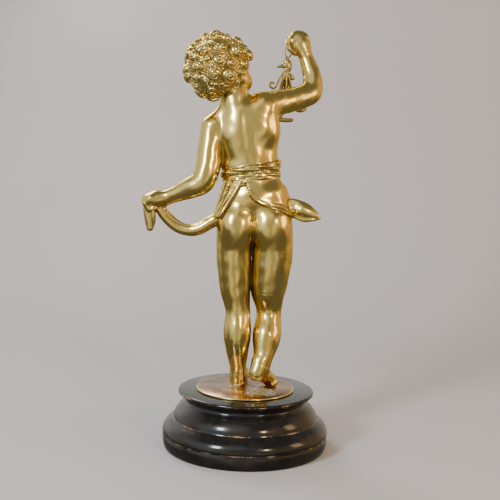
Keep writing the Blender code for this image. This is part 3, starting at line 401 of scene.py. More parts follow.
def left_arm(p):
    d = sweep(p, [(43.8, 1.0, 286.8, 14.0), (46.6, 4.0, 262.0, 13.8), (49.2, 8.0, 240.0, 13.4),
                  (54.8, 8.6, 227.6, 13.2), (67.6, 5.5, 220.8, 11.8), (82.0, 1.5, 214.2, 9.3),
                  (96.5, -2.0, 208.5, 7.4)])
    q = fist(p, LEFT_WRIST, (1.0, -0.06, -0.05), (0.05, 0.18, 1.0), HAND_SIZE)
    hand = within(q, (-12, -20, -24), (36, 20, 18), lambda r: closed_hand(r, 1.0))
    return blend(d, hand * HAND_SIZE, 3.0)


def right_arm(p):
    d = sweep(p, [(-11.0, 2.0, 311.0, 15.0), (-26.0, -9.0, 316.6, 14.2), (-45.0, -24.0, 322.6, 13.1),
                  (-62.5, -38.0, 331.0, 13.1), (-65.0, -43.0, 346.0, 11.0), (-61.5, -46.5, 360.0, 9.6),
                  (-55.0, -48.0, 377.5, 7.1)])
    q = fist(p, RIGHT_WRIST, (0.44, -0.06, 1.0), (-0.15, 1.0, 0.20), HAND_SIZE)
    hand = within(q, (-12, -20, -24), (36, 20, 18), lambda r: closed_hand(r, -1.0))
    return blend(d, hand * HAND_SIZE, 3.0)


# Cloth: a rolled sash, the loincloth under it, a flying end and a swag up to the left hand
SASH_HEIGHT = 237.5
SASH_SLOPE = -0.255
SASH_ROLLS = ((6.2, 3.7, 2.3), (0.2, 3.6, 1.7), (-6.4, 3.9, 2.4))
CLOTH_THICKNESS = 2.1
HEM_BACK_X = (-47.0, -33.0, -22.0, -11.5, -3.3, 2.5, 6.5, 10.0, 14.0, 34.5, 40.0)
HEM_BACK_Z = (191.0, 198.0, 200.5, 204.0, 208.5, 214.0, 226.0, 232.0, 227.0, 193.0, 186.0)
GATHER_RADIUS = 3.0
GATHERS = (
    ((12.0, 231.0), (19.0, 218.0), (28.0, 204.0), (36.0, 192.0)),
    ((19.0, 229.0), (25.0, 217.0), (32.0, 205.0), (38.0, 196.0)),
    ((27.0, 228.0), (31.5, 217.0), (36.0, 207.0), (40.0, 200.0)))
HEM_FRONT_X = (-47.0, -32.0, -12.0, 6.0, 24.0, 38.0)
HEM_FRONT_Z = (191.0, 172.0, 158.0, 156.0, 168.0, 184.0)


def sash(p, core):
    turn = np.arctan2(p[:, 1] + 1.0, p[:, 0] - 1.0)
    w = p[:, 2] - (SASH_HEIGHT + SASH_SLOPE * p[:, 0])
    out = np.full(len(p), FAR)
    for i, (middle, half, swell) in enumerate(SASH_ROLLS):
        drift = 1.1 * np.sin(2.0 * turn + 1.9 * i)
        t = 1.0 - ((w - middle - drift) / half) ** 2
        rise = 0.6 + swell * np.sqrt(np.maximum(t, 0.0)) + np.minimum(t, 0.0) * 2.5
        rise = rise + 0.30 * np.sin(9.0 * turn + 1.3 * w + 2.0 * i)
        out = blend(out, core - rise, 0.5)
    return np.maximum(out, np.abs(w) - 12.0)


def loincloth(p, core):
    x = p[:, 0]
    z = p[:, 2]
    rear = ramp(-7.0, 7.0, p[:, 1])
    hem = np.interp(x, HEM_FRONT_X, HEM_FRONT_Z) * (1.0 - rear) + np.interp(x, HEM_BACK_X, HEM_BACK_Z) * rear
    g = (z - hem) * 0.80
    top = SASH_HEIGHT + SASH_SLOPE * x - 3.0 - z
    rise = np.minimum(CLOTH_THICKNESS, 1.7 * g)
    rise = rise + 0.85 * np.exp(-((g - 1.9) / 1.2) ** 2) + 0.45 * np.exp(-((g - 5.2) / 1.3) ** 2)
    drop = np.clip((SASH_HEIGHT - 8.0 - z) / (SASH_HEIGHT - 8.0 - hem + 1e-6), 0.0, 1.2)
    swing = np.interp(x, (-47.0, -5.0, 38.0), (0.2, 1.0, 0.35))
    festoon = swing * 1.5 * np.cos(2 * np.pi * (3.6 * drop + 0.012 * (x + 5.0)))
    slack = 0.35 * np.sin(0.16 * x + 0.14 * z) * ramp(0.0, 8.0, g)
    rise = rise + (festoon * (1.0 - rear) + slack * rear) * ramp(0.0, 4.0, g)
    d = np.maximum(core - rise, -top)
    flat = p * np.array([1.0, 0.0, 1.0])
    for line in GATHERS:
        away = np.maximum(chain(flat, flowing([(u, 0.0, w, 0.0) for u, w in line], 3)), 0.0)
        fold = np.sqrt(away ** 2 + (core - 0.8) ** 2) - GATHER_RADIUS
        d = blend(d, np.maximum(fold, -3.0 - p[:, 1]), 1.0)
    return d


def flying_end(p):
    tilt = np.radians(-22.0)
    axes = [(-np.cos(tilt), 0.10, np.sin(tilt)), (0.10, 1.0, 0.0), (np.sin(tilt), 0.0, np.cos(tilt))]
    d = oval(p, (-53.5, 3.0, 200.8), (21.0, 5.6, 9.6), axes)
    point = [(-56.0, 4.0, 200.0, 7.2), (-66.0, 4.6, 196.0, 5.2), (-75.4, 5.0, 191.7, 1.4)]
    d = blend(d, sweep(p, point), 4.0)
    edge = [(-44.0, 5.0, 194.0, 2.0), (-56.0, 6.8, 189.8, 2.4), (-66.0, 7.0, 190.0, 2.1),
            (-76.0, 5.6, 191.2, 1.1)]
    d = blend(d, sweep(p, edge), 1.0)
    for lift in (-1.0, 4.5):
        groove = [(-44.0, -3.6, 201.0 + lift, 0.8), (-56.0, -3.6, 198.0 + lift, 1.0),
                  (-68.0, -1.6, 193.8 + 0.6 * lift, 0.6)]
        d = carve(d, sweep(p, groove), 1.6)
    return d


def swag(p):
    line = [(34.0, 4.0, 190.0, 7.0), (43.0, 3.0, 184.5, 7.0), (56.0, 1.0, 176.5, 6.9),
            (68.0, -1.0, 173.8, 6.7), (81.0, -2.5, 177.5, 6.5), (94.0, -3.5, 188.0, 6.4),
            (101.5, -4.0, 199.0, 6.2)]
    d = sweep(p, line)
    for lift, back, size in ((5.2, 4.6, 0.7), (2.8, -6.0, 1.0), (-3.6, -5.8, 0.8)):
        groove = [(k[0] + 0.1 * lift, k[1] + back * k[3] / 6.8, k[2] + lift * k[3] / 6.8, size) for k in line]
        d = carve(d, sweep(p, groove), 1.3)
    return d


def tail(p):
    line = [(112.0, -4.0, 203.0, 7.4), (112.5, -3.0, 193.0, 7.0), (111.5, -2.5, 183.0, 6.0),
            (111.4, -2.0, 175.6, 4.0)]
    d = sweep(p, line, 0.68)
    fold = [(108.0, 2.4, 201.0, 2.2), (107.6, 2.6, 190.0, 2.2), (107.2, 1.6, 182.0, 1.6)]
    d = blend(d, sweep(p, fold), 0.8)
    d = carve(d, sweep(p, [(114.6, 3.6, 200.0, 0.8), (114.2, 3.2, 181.0, 0.8)]), 1.2)
    return carve(d, chain(p, [(108.6, -7.4, 201.0, 1.0), (109.4, -7.0, 179.0, 0.8)]), 1.2)


# The whole casting

def add(d, p, low, high, make, soft):
    keep = np.all((p > np.asarray(low, float)) & (p < np.asarray(high, float)), axis=1)
    if keep.any():
        d[keep] = blend(d[keep], make(p[keep]), soft)


def body(p):
    d = within(p, (-60, -45, 5), (60, 45, 350), trunk)
    core = d.copy()
    add(d, p, (-2, -62, -4), (32, 14, 40), lambda r: foot(r, (9.0, -6.0), np.radians(6.0), 0.0, -1.0), 4.0)
    add(d, p, (-56, -42, -4), (2, 30, 48), lambda r: foot(r, (-10.8, 18.5), np.radians(31.0), 13.0, 1.0), 4.0)
    keep = np.all((p > (-56.0, -44.0, 146.0)) & (p < (52.0, 42.0, 262.0)), axis=1)
    if keep.any():
        near = p[keep]
        inner = core[keep]
        d[keep] = blend(blend(d[keep], loincloth(near, inner), 0.6), sash(near, inner), 0.8)
    add(d, p, (-90, -14, 176), (-34, 20, 226), flying_end, 1.5)
    add(d, p, (24, -20, 158), (116, 20, 214), swag, 2.0)
    add(d, p, (20, -30, 180), (130, 34, 320), left_arm, 4.0)
    add(d, p, (92, -20, 164), (126, 16, 216), tail, 1.0)
    add(d, p, (-92, -74, 284), (20, 30, 410), right_arm, 6.0)
    return d


def figure(p):
    d = body(p)
    add(d, p, (-12, -56, 296), (96, 58, 404), head, 2.0)
    return d


# Slight unevenness of the hand-finished casting, in parts of the canon
UNEVEN = 0.24


def uneven(p):
    across = np.sin(0.23 * p[:, 0] + 0.9 * np.sin(0.16 * p[:, 2]) + 0.2 * p[:, 1])
    along = np.sin(0.21 * p[:, 2] + 0.8 * np.sin(0.19 * p[:, 0] + 0.15 * p[:, 1]))
    return UNEVEN * across * along


def body_part(p):
    return np.maximum(figure(p) + uneven(p), HEAD_BALL_RADIUS - np.sqrt(((p - HEAD_BALL) ** 2).sum(1)))


def head_part(p):
    return np.maximum(figure(p) + uneven(p), np.sqrt(((p - HEAD_BALL) ** 2).sum(1)) - HEAD_BALL_RADIUS - 1.0)


# The sprig: a wire hooked through the raised hand, leaves, strands and a tendril below it

def sprig(p):
    d = sweep(p, [(-44.0, -52.0, 388.0, 1.0), (-38.5, -53.0, 385.0, 1.0), (-34.4, -53.5, 382.0, 1.0),
                  (-33.0, -52.8, 376.5, 1.0), (-35.0, -52.0, 370.0, 1.3)])
    beak = [(-43.4, -50.5, 380.0, 1.0), (-39.8, -51.0, 374.6, 1.3), (-36.6, -51.5, 370.6, 1.7)]
    d = blend(d, sweep(p, beak), 0.6)
    d = blend(d, oval(p, (-35.2, -51.5, 365.0), (3.2, 3.0, 6.4)), 1.0)
    d = blend(d, oval(p, (-39.0, -51.5, 361.6), (2.5, 2.4, 6.6)), 0.8)
    bud = [(-35.5, -51.5, 361.0, 2.4), (-29.5, -51.0, 361.2, 1.9), (-24.6, -50.5, 359.8, 0.8)]
    d = blend(d, sweep(p, bud), 1.0)
    for tip, bow, size in ((-28.6, 2.2, 1.6), (-32.2, -1.6, 1.5), (-35.8, 1.8, 1.7),
                           (-39.4, -2.0, 1.5), (-42.8, 2.4, 1.4)):
        strand = [(-35.5, -51.5, 359.0, 1.9), ((tip - 35.5) * 0.5, -51.5 + bow, 347.0, size),
                  (tip, -51.5 + 0.5 * bow, 333.0, size)]
        d = blend(d, sweep(p, strand), 0.5)
    tendril = [(-33.0, -51.0, 356.0, 1.3), (-27.8, -50.0, 347.0, 1.2), (-24.6, -49.5, 338.6, 1.2),
               (-20.6, -49.5, 335.6, 1.2), (-17.2, -49.5, 338.2, 1.2), (-18.4, -49.5, 342.2, 1.2),
               (-21.6, -49.5, 341.6, 1.0)]
    d = blend(d, sweep(p, tendril), 0.4)
    stem = [(-35.5, -51.5, 357.0, 1.8), (-38.0, -53.0, 338.0, 1.6), (-38.5, -53.0, 322.0, 1.6),
            (-33.0, -51.0, 308.0, 1.5), (-29.0, -49.5, 300.0, 1.6)]
    d = blend(d, sweep(p, stem), 0.8)
    d = blend(d, sweep(p, [(-38.4, -52.6, 322.0, 1.4), (-46.0, -52.0, 313.6, 2.0), (-54.0, -51.5, 311.8, 2.4),
                           (-60.0, -51.0, 313.6, 1.0)]), 0.8)
    end = [(-28.0, -49.0, 300.4, 2.2), (-38.0, -50.0, 300.0, 2.4), (-43.4, -50.0, 300.4, 2.0)]
    d = blend(d, sweep(p, end), 0.8)
    for z, side, size in ((350.0, -1.0, 5.4), (341.0, 1.0, 5.8), (331.0, -1.0, 6.0), (324.0, 1.0, 5.0)):
        x = -36.5 - 0.08 * (350.0 - z)
        leaf = oval(p, (x + side * 4.0, -55.0, z), (size, 1.5, 3.2), [
            (0.83, 0.0, -0.55 * side), (0.0, 1.0, 0.0), (0.55 * side, 0.0, 0.83)])
        d = blend(d, leaf, 0.8)
    return d


def held_sprig(p):
    return np.maximum(sprig(p), SPRIG_CLEARANCE - right_arm(p))


# Skin of a soft solid: one vertex for every cell that the surface crosses

CORNERS = np.array([(i & 1, (i >> 1) & 1, (i >> 2) & 1) for i in range(8)])
EDGES = [(a, b) for a in range(8) for b in range(a + 1, 8) if np.abs(CORNERS[a] - CORNERS[b]).sum() == 1]


def pieces(chosen):
    left = set(chosen)
    count = 0
    while left:
        count += 1
        heap = [left.pop()]
        while heap:
            here = heap.pop()
            for other in list(left):
                if np.abs(CORNERS[here] - CORNERS[other]).sum() == 1:
                    left.remove(other)
                    heap.append(other)
    return count


def doubtful_cells():
    table = np.zeros(256, bool)
    for mask in range(256):
        inside = [i for i in range(8) if mask >> i & 1]
        outside = [i for i in range(8) if not mask >> i & 1]
        bad = pieces(inside) > 1 or pieces(outside) > 1
        for axis in range(3):
            for level in (0, 1):
                ring = [i for i in range(8) if CORNERS[i][axis] == level]
                bits = [mask >> i & 1 for i in ring]
                if bits[0] == bits[3] and bits[1] == bits[2] and bits[0] != bits[1]:
                    bad = True
        table[mask] = bad
    return table


def sample(field, low, high, step):
    block = 8
    counts = np.ceil((np.asarray(high, float) - low) / (step * block)).astype(int)
    grids = np.meshgrid(*[np.arange(n) for n in counts], indexing="ij")
    blocks = np.stack([g.ravel() for g in grids], 1)
    middle = low + (blocks * block + 0.5 * (block - 1)) * step
    guess = spread(field, middle)
    value = np.repeat(np.repeat(np.repeat(guess.reshape(counts), block, 0), block, 1), block, 2)
    value = np.where(value < 0.0, -FAR, FAR)
    reach = 0.5 * np.sqrt(3.0) * block * step * 1.15 + 2.0
    near = blocks[np.abs(guess) < reach]
    cell = np.stack([g.ravel() for g in np.meshgrid(*[np.arange(block)] * 3, indexing="ij")], 1)

    def fill(first):
        index = (near[first:first + 160, None, :] * block + cell[None]).reshape(-1, 3)
        value[index[:, 0], index[:, 1], index[:, 2]] = field(low + index * step)

    list(POOL.map(fill, range(0, len(near), 160)))
    return value


def cell_masks(inside):
    mask = np.zeros(tuple(n - 1 for n in inside.shape), np.uint8)
    for bit, (i, j, k) in enumerate(CORNERS):
        part = inside[i:inside.shape[0] - 1 + i, j:inside.shape[1] - 1 + j, k:inside.shape[2] - 1 + k]
        mask |= part.astype(np.uint8) << bit
    return mask


def largest(verts, faces):
    label = np.arange(len(verts))
    while True:
        lowest = label[faces].min(1)
        joined = label.copy()
        np.minimum.at(joined, faces.ravel(), np.repeat(lowest, 4))
        joined = joined[joined]
        if np.array_equal(joined, label):
            break
        label = joined
    keep = label == np.bincount(label).argmax()
    number = np.cumsum(keep) - 1
    return verts[keep], number[faces[keep[faces[:, 0]]]]


def skin(field, low, high, step):
    low = np.asarray(low, float)
    value = sample(field, low, high, step)
    doubtful = doubtful_cells()
    settled = np.zeros(value.shape, bool)
    for turn in range(40):
        mask = cell_masks(value < 0.0)
        cells = np.argwhere(doubtful[mask])
        if len(cells) == 0:
            break
        around = cells[:, None, :] + CORNERS[None]
        size = np.abs(value[around[..., 0], around[..., 1], around[..., 2]])
        size = np.where(settled[around[..., 0], around[..., 1], around[..., 2]], 10 * FAR, size)
        pick = np.unique(around[np.arange(len(cells)), size.argmin(1)], axis=0)
        if turn > 24:
            pick = np.unique(around.reshape(-1, 3), axis=0)
        old = value[pick[:, 0], pick[:, 1], pick[:, 2]]
        old = np.where(turn > 24, FAR, old)
        value[pick[:, 0], pick[:, 1], pick[:, 2]] = np.where(old < 0.0, 0.03, -0.03) * step
        settled[pick[:, 0], pick[:, 1], pick[:, 2]] = True
    cells = np.argwhere((mask > 0) & (mask < 255))
    around = cells[:, None, :] + CORNERS[None]
    v = value[around[..., 0], around[..., 1], around[..., 2]]
    total = np.zeros((len(cells), 3))
    count = np.zeros(len(cells))
    for a, b in EDGES:
        cross = (v[:, a] < 0.0) != (v[:, b] < 0.0)
        t = np.where(cross, v[:, a] / np.where(cross, v[:, a] - v[:, b], 1.0), 0.0)
        t = np.clip(t, 0.04, 0.96)
        point = CORNERS[a] + t[:, None] * (CORNERS[b] - CORNERS[a])
        total += point * cross[:, None]
        count += cross
    verts = low + (cells + total / count[:, None]) * step
    number = np.full(mask.shape, -1, np.int64)
    number[cells[:, 0], cells[:, 1], cells[:, 2]] = np.arange(len(cells))
    inside = value < 0.0
    faces = []
    for axis in range(3):
        u = (axis + 1) % 3
        w = (axis + 2) % 3
        first = [slice(1, -1)] * 3
        first[axis] = slice(0, -1)
        second = list(first)
        second[axis] = slice(1, None)
        a = inside[tuple(first)]
        b = inside[tuple(second)]
        edge = np.argwhere(a != b)
        flip = a[edge[:, 0], edge[:, 1], edge[:, 2]]
        base = edge.copy()
        base[:, u] += 1
        base[:, w] += 1
        step_u = np.zeros(3, int)
        step_u[u] = 1
        step_w = np.zeros(3, int)
        step_w[w] = 1
        quad = [base - step_u - step_w, base - step_w, base, base - step_u]
        quad = np.stack([number[c[:, 0], c[:, 1], c[:, 2]] for c in quad], 1)
        quad[~flip] = quad[~flip][:, ::-1]
        faces.append(quad)
    return largest(verts, np.vstack(faces))


def spread(field, points):
    parts = np.array_split(points, max(4, len(points) // 60000))
    return np.concatenate(list(POOL.map(field, parts)))


def slope(field, points, reach=0.05):
    out = np.zeros_like(points)
    for axis in range(3):
        step = np.zeros(3)
        step[axis] = reach
        out[:, axis] = spread(field, points + step) - spread(field, points - step)
    return out / (2.0 * reach)



def solid_mesh(name, verts, faces):
    mesh = bpy.data.meshes.new(name)
    mesh.vertices.add(len(verts))
    mesh.vertices.foreach_set("co", verts.ravel())
    mesh.loops.add(faces.size)
    mesh.loops.foreach_set("vertex_index", faces.ravel())
    mesh.polygons.add(len(faces))
    mesh.polygons.foreach_set("loop_start", np.arange(0, faces.size, faces.shape[1]))
    mesh.update(calc_edges=True)
    mesh.validate()
    thing = bpy.data.objects.new(name, mesh)
    bpy.context.scene.collection.objects.link(thing)
    return thing


def thin_out(thing, triangles):
    thing.data.calc_loop_triangles()
    now = len(thing.data.loop_triangles)
    reduce = thing.modifiers.new("thin", "DECIMATE")
    reduce.ratio = min(1.0, triangles / now)
    reduce.use_collapse_triangulate = True
    graph = bpy.context.evaluated_depsgraph_get()
    mesh = bpy.data.meshes.new_from_object(thing.evaluated_get(graph))
    thing.modifiers.clear()
    old = thing.data
    thing.data = mesh
    bpy.data.meshes.remove(old)
    mesh.name = thing.name


def carved(name, field, low, high, step, depths):
    verts, faces = skin(field, low, high, step)
    thing = solid_mesh(name, verts, faces)
    thin_out(thing, MOST_TRIANGLES)
    points = np.zeros(3 * len(thing.data.vertices))
    thing.data.vertices.foreach_get("co", points)
    points = points.reshape(-1, 3)
    for _ in range(2):
        grade = slope(field, points)
        size = np.maximum((grade ** 2).sum(1), 0.25)
        value = spread(field, points)
        near = np.clip(value, -0.3 * step, 0.3 * step)
        points = points - grade * (np.where(np.abs(value) > 1.2 * step, value, near) / size)[:, None]
    grade = slope(field, points)
    normal = grade / np.maximum(np.sqrt((grade ** 2).sum(1)), 1e-6)[:, None]
    # Openness of the surface at each depth, kept as an attribute that the brass looks use as a mask for
    # residue and painted shade
    for label, depth in depths:
        open_sky = spread(field, points + normal * depth) / depth
        layer = thing.data.attributes.new(label, "FLOAT", "POINT")
        layer.data.foreach_set("value", np.clip(open_sky, 0.0, 1.3).astype(np.float32))
    thing.data.vertices.foreach_set("co", (points * PART + np.array([0.0, 0.0, FIGURE_BASE])).ravel())
    thing.data.update()
    thing.data.shade_smooth()
    thing.data.normals_split_custom_set_from_vertices(normal.tolist())
    return thing


# Turned pieces

PLINTH_PROFILE = (
    (0.0890, 0.0000), (0.0904, 0.0012), (0.0917, 0.0060), (0.0923, 0.0115), (0.0922, 0.0150),
    (0.0912, 0.0163), (0.0924, 0.0177), (0.0925, 0.0198), (0.0914, 0.0236), (0.0890, 0.0273),
    (0.0853, 0.0305), (0.0818, 0.0325), (0.0805, 0.0337), (0.0804, 0.0356), (0.0788, 0.0402),
    (0.0752, 0.0452), (0.0706, 0.0494), (0.0676, 0.0520), (0.0669, 0.0538), (0.0680, 0.0562),
    (0.0709, 0.0586), (0.0741, 0.0603), (0.0755, 0.0616), (0.0757, 0.0629), (0.0749, 0.0641),
    (0.0732, 0.0645))


def turned(name, profile, segments, shift):
    rings = len(profile)
    turn = 2 * np.pi * np.arange(segments) / segments
    radius = np.array([k[0] for k in profile])[:, None]
    height = np.array([k[1] for k in profile])[:, None]
    x = shift + radius * np.cos(turn)
    y = radius * np.sin(turn)
    z = height + 0.0 * turn
    verts = np.stack([x, y, z], 2).reshape(-1, 3)
    ring = np.arange(rings - 1)[:, None] * segments
    i = np.arange(segments)[None]
    j = (i + 1) % segments
    faces = np.stack([ring + i, ring + j, ring + segments + j, ring + segments + i], 2).reshape(-1, 4)
    thing = solid_mesh(name, verts, faces)
    shape = bmesh.new()
    shape.from_mesh(thing.data)
    edges = [e for e in shape.edges if e.is_boundary]
    bmesh.ops.holes_fill(shape, edges=edges, sides=0)
    shape.to_mesh(thing.data)
    shape.free()
    thing.data.shade_smooth()
    return thing


# Looks

def wire_up(material):
    material.use_nodes = True
    tree = material.node_tree
    shader = tree.nodes["Principled BSDF"]

    def node(kind, **values):
        made = tree.nodes.new(kind)
        for key, value in values.items():
            setattr(made, key, value)
        return made

    def link(a, b):
        tree.links.new(a, b)

    return shader, node, link


def ramp_node(node, source, link, stops, smooth=True):
    made = node("ShaderNodeValToRGB")
    made.color_ramp.interpolation = "EASE" if smooth else "LINEAR"
    cells = made.color_ramp.elements
    while len(cells) < len(stops):
        cells.new(0.5)
    for cell, (place, colour) in zip(cells, stops):
        cell.position = place
        cell.color = colour if len(colour) == 4 else colour + (1.0,)
    link(source, made.inputs[0])
    return made.outputs[0]


def grey(value):
    return (value, value, value, 1.0)


def noise(node, link, vector, scale, detail=4.0, rough=0.55):
    made = node("ShaderNodeTexNoise")
    made.inputs["Scale"].default_value = scale
    made.inputs["Detail"].default_value = detail
    made.inputs["Roughness"].default_value = rough
    link(vector, made.inputs["Vector"])
    return made.outputs["Fac"]


def mix(node, link, factor, a, b):
    made = node("ShaderNodeMix", data_type="RGBA")
    if isinstance(factor, float):
        made.inputs[0].default_value = factor
    else:
        link(factor, made.inputs[0])
    for socket, value in ((made.inputs[6], a), (made.inputs[7], b)):
        if isinstance(value, tuple):
            socket.default_value = value if len(value) == 4 else value + (1.0,)
        else:
            link(value, socket)
    return made.outputs[2]


def maths(node, link, what, a, b=0.0):
    made = node("ShaderNodeMath", operation=what)
    for socket, value in ((made.inputs[0], a), (made.inputs[1], b)):
        if isinstance(value, float):
            socket.default_value = value
        else:
            link(value, socket)
    return made.outputs[0]


def bump(node, link, shader, height, strength, distance):
    made = node("ShaderNodeBump")
    made.inputs["Strength"].default_value = strength
    made.inputs["Distance"].default_value = distance
    link(height, made.inputs["Height"])
    link(made.outputs[0], shader.inputs["Normal"])


# deep is the dark colour of the painted shade in crevices and broad hollows; edges are the ramp stops of the
# crevice mask
def brass_look(name, base, olive, deep, edges, rough_low, rough_high):
    material = bpy.data.materials.new(name)
    shader, node, link = wire_up(material)
    place = node("ShaderNodeTexCoord").outputs["Object"]
    fine = node("ShaderNodeAttribute", attribute_name="fine").outputs["Fac"]
    broad = node("ShaderNodeAttribute", attribute_name="broad").outputs["Fac"]
    cloud = noise(node, link, place, 38.0, 5.0, 0.6)
    patch = noise(node, link, place, 170.0, 4.0, 0.6)
    grain = noise(node, link, place, 900.0, 3.0, 0.6)
    tone = ramp_node(node, cloud, link, ((0.36, base), (0.64, olive)))
    shake = maths(node, link, "MULTIPLY", maths(node, link, "SUBTRACT", patch, 0.5), 0.30)
    # Crevice mask from the fine openness: the pale grey-green residue that the casting has, together with
    # dark painted shade in the crevices
    residue_and_shade_mask = ramp_node(node, maths(node, link, "ADD", fine, shake), link, edges)
    # Inside crevices, noise picks patches of dark painted shade and patches of pale residue
    residue_and_shade_tone = ramp_node(node, patch, link, ((0.44, deep), (0.60, (0.40, 0.42, 0.34))))
    tone = mix(node, link, residue_and_shade_mask, tone, residue_and_shade_tone)
    # Painted shade: broad hollows are darkened towards the deep colour
    wide = ramp_node(node, broad, link, ((0.10, grey(0.35)), (0.60, grey(0.0))))
    tone = mix(node, link, wide, tone, deep)
    link(tone, shader.inputs["Base Color"])
    shader.inputs["Specular Tint"].default_value = (1.0, 0.84, 0.52, 1.0)
    metal = ramp_node(node, residue_and_shade_mask, link, ((0.0, grey(1.0)), (1.0, grey(0.45))), False)
    link(metal, shader.inputs["Metallic"])
    rough = ramp_node(node, cloud, link, ((0.34, grey(rough_low)), (0.68, grey(rough_high))))
    rough = mix(node, link, residue_and_shade_mask, rough, grey(0.60))
    link(rough, shader.inputs["Roughness"])
    height = maths(node, link, "ADD", maths(node, link, "MULTIPLY", grain, 0.08),
                   maths(node, link, "MULTIPLY", cloud, 1.2))
    bump(node, link, shader, height, 0.22, 0.0012)
    return material


def ebony_look():
    material = bpy.data.materials.new("ebonised_wood")
    shader, node, link = wire_up(material)
    place = node("ShaderNodeTexCoord").outputs["Object"]
    split = node("ShaderNodeSeparateXYZ")
    link(place, split.inputs[0])
    height = split.outputs["Z"]
    worn = None
    for level, half in ((0.0163, 0.0011), (0.0337, 0.0010), (0.0628, 0.0013), (0.0006, 0.0010)):
        away = maths(node, link, "ABSOLUTE", maths(node, link, "SUBTRACT", height, level))
        near = maths(node, link, "SUBTRACT", 1.0, maths(node, link, "DIVIDE", away, half))
        worn = near if worn is None else maths(node, link, "MAXIMUM", worn, near)
    blotch = noise(node, link, place, 55.0, 5.0, 0.62)
    speck = noise(node, link, place, 420.0, 3.0, 0.6)
    patchy = maths(node, link, "MULTIPLY", maths(node, link, "SUBTRACT", blotch, 0.62), 4.5)
    wear = maths(node, link, "ADD", worn, patchy)
    specks = maths(node, link, "MULTIPLY", maths(node, link, "SUBTRACT", speck, 0.5), 1.6)
    wear = maths(node, link, "ADD", wear, specks)
    wear = ramp_node(node, wear, link, ((0.30, grey(0.0)), (0.62, grey(1.0))))
    soot = ramp_node(node, blotch, link, ((0.35, (0.008, 0.007, 0.008)), (0.70, (0.020, 0.015, 0.013))))
    tone = mix(node, link, wear, soot, (0.30, 0.17, 0.09))
    link(tone, shader.inputs["Base Color"])
    rough = ramp_node(node, blotch, link, ((0.30, grey(0.13)), (0.72, grey(0.26))))
    shader.inputs["Specular IOR Level"].default_value = 0.36
    rough = mix(node, link, wear, rough, grey(0.5))
    link(rough, shader.inputs["Roughness"])
    shader.inputs["Coat Weight"].default_value = 0.30
    shader.inputs["Coat Roughness"].default_value = 0.05
    rings = node("ShaderNodeMapping")
    rings.inputs["Scale"].default_value = (12.0, 160.0, 12.0)
    link(place, rings.inputs["Vector"])
    fibre = noise(node, link, rings.outputs[0], 6.0, 4.0, 0.6)
    bumps = maths(node, link, "ADD", maths(node, link, "MULTIPLY", fibre, 0.5),
                  maths(node, link, "MULTIPLY", wear, -0.6))
    bump(node, link, shader, bumps, 0.25, 0.0004)
    return material


def distance(node, link, x, y):
    squares = [maths(node, link, "MULTIPLY", value, value) for value in (x, y)]
    return maths(node, link, "SQRT", maths(node, link, "ADD", *squares))


# Residue on the disc around the feet: place and radius of each patch, in metres
SOLDER_SPOTS = (
    (-0.0190, 0.0170, 0.0165), (-0.0240, 0.0270, 0.0130), (-0.0110, 0.0270, 0.0120),
    (0.0100, -0.0010, 0.0085))


def disc_look():
    material = bpy.data.materials.new("disc_brass")
    shader, node, link = wire_up(material)
    place = node("ShaderNodeTexCoord").outputs["Object"]
    split = node("ShaderNodeSeparateXYZ")
    link(place, split.inputs[0])
    x = maths(node, link, "SUBTRACT", split.outputs["X"], DISC_SHIFT)
    y = split.outputs["Y"]
    radius = distance(node, link, x, y)
    rim = maths(node, link, "DIVIDE", radius, DISC_DIAMETER / 2)
    cloud = noise(node, link, place, 48.0, 5.0, 0.6)
    tone = ramp_node(node, cloud, link, (
        (0.36, (0.34, 0.19, 0.12)), (0.52, (0.45, 0.28, 0.15)), (0.66, (0.58, 0.39, 0.17))))
    bright = ramp_node(node, rim, link, ((0.955, grey(0.0)), (0.985, grey(1.0))))
    tone = mix(node, link, bright, tone, (0.86, 0.64, 0.30))
    spots = None
    for sx, sy, sr in SOLDER_SPOTS:
        dx = maths(node, link, "SUBTRACT", x, sx)
        dy = maths(node, link, "SUBTRACT", y, sy)
        away = distance(node, link, dx, dy)
        near = maths(node, link, "SUBTRACT", 1.0, maths(node, link, "DIVIDE", away, sr))
        spots = near if spots is None else maths(node, link, "MAXIMUM", spots, near)
    rag = noise(node, link, place, 260.0, 4.0, 0.65)
    ragged = maths(node, link, "MULTIPLY", maths(node, link, "SUBTRACT", rag, 0.5), 1.1)
    spots = maths(node, link, "ADD", spots, ragged)
    solder = ramp_node(node, spots, link, ((0.16, grey(0.0)), (0.34, grey(1.0))))
    tint = ramp_node(node, rag, link, ((0.42, (0.50, 0.52, 0.40)), (0.58, (0.86, 0.88, 0.84))))
    tone = mix(node, link, solder, tone, tint)
    link(tone, shader.inputs["Base Color"])
    shader.inputs["Metallic"].default_value = 1.0
    rough = ramp_node(node, cloud, link, ((0.35, grey(0.20)), (0.65, grey(0.32))))
    rough = mix(node, link, solder, rough, grey(0.55))
    link(rough, shader.inputs["Roughness"])
    height = maths(node, link, "ADD", maths(node, link, "MULTIPLY", solder, 0.8),
                   maths(node, link, "MULTIPLY", rag, 0.25))
    bump(node, link, shader, height, 0.30, 0.0005)
    return material


def plain(name, colour, roughness):
    material = bpy.data.materials.new(name)
    shader = wire_up(material)[0]
    shader.inputs["Base Color"].default_value = colour + (1.0,)
    shader.inputs["Roughness"].default_value = roughness
    return material


def softbox(name, place, target, size, power, colour):
    light = bpy.data.lights.new(name, "AREA")
    light.shape = "RECTANGLE"
    light.size = size[0]
    light.size_y = size[1]
    light.energy = power
    light.color = colour
    thing = bpy.data.objects.new(name, light)
    bpy.context.scene.collection.objects.link(thing)
    ahead = np.asarray(target, float) - np.asarray(place, float)
    ahead = ahead / np.linalg.norm(ahead)
    side = np.cross(ahead, (0.0, 0.0, 1.0))
    side = side / np.linalg.norm(side)
    up = np.cross(side, ahead)
    thing.matrix_world = Matrix((
        (side[0], up[0], -ahead[0], place[0]),
        (side[1], up[1], -ahead[1], place[1]),
        (side[2], up[2], -ahead[2], place[2]),
        (0.0, 0.0, 0.0, 1.0)))
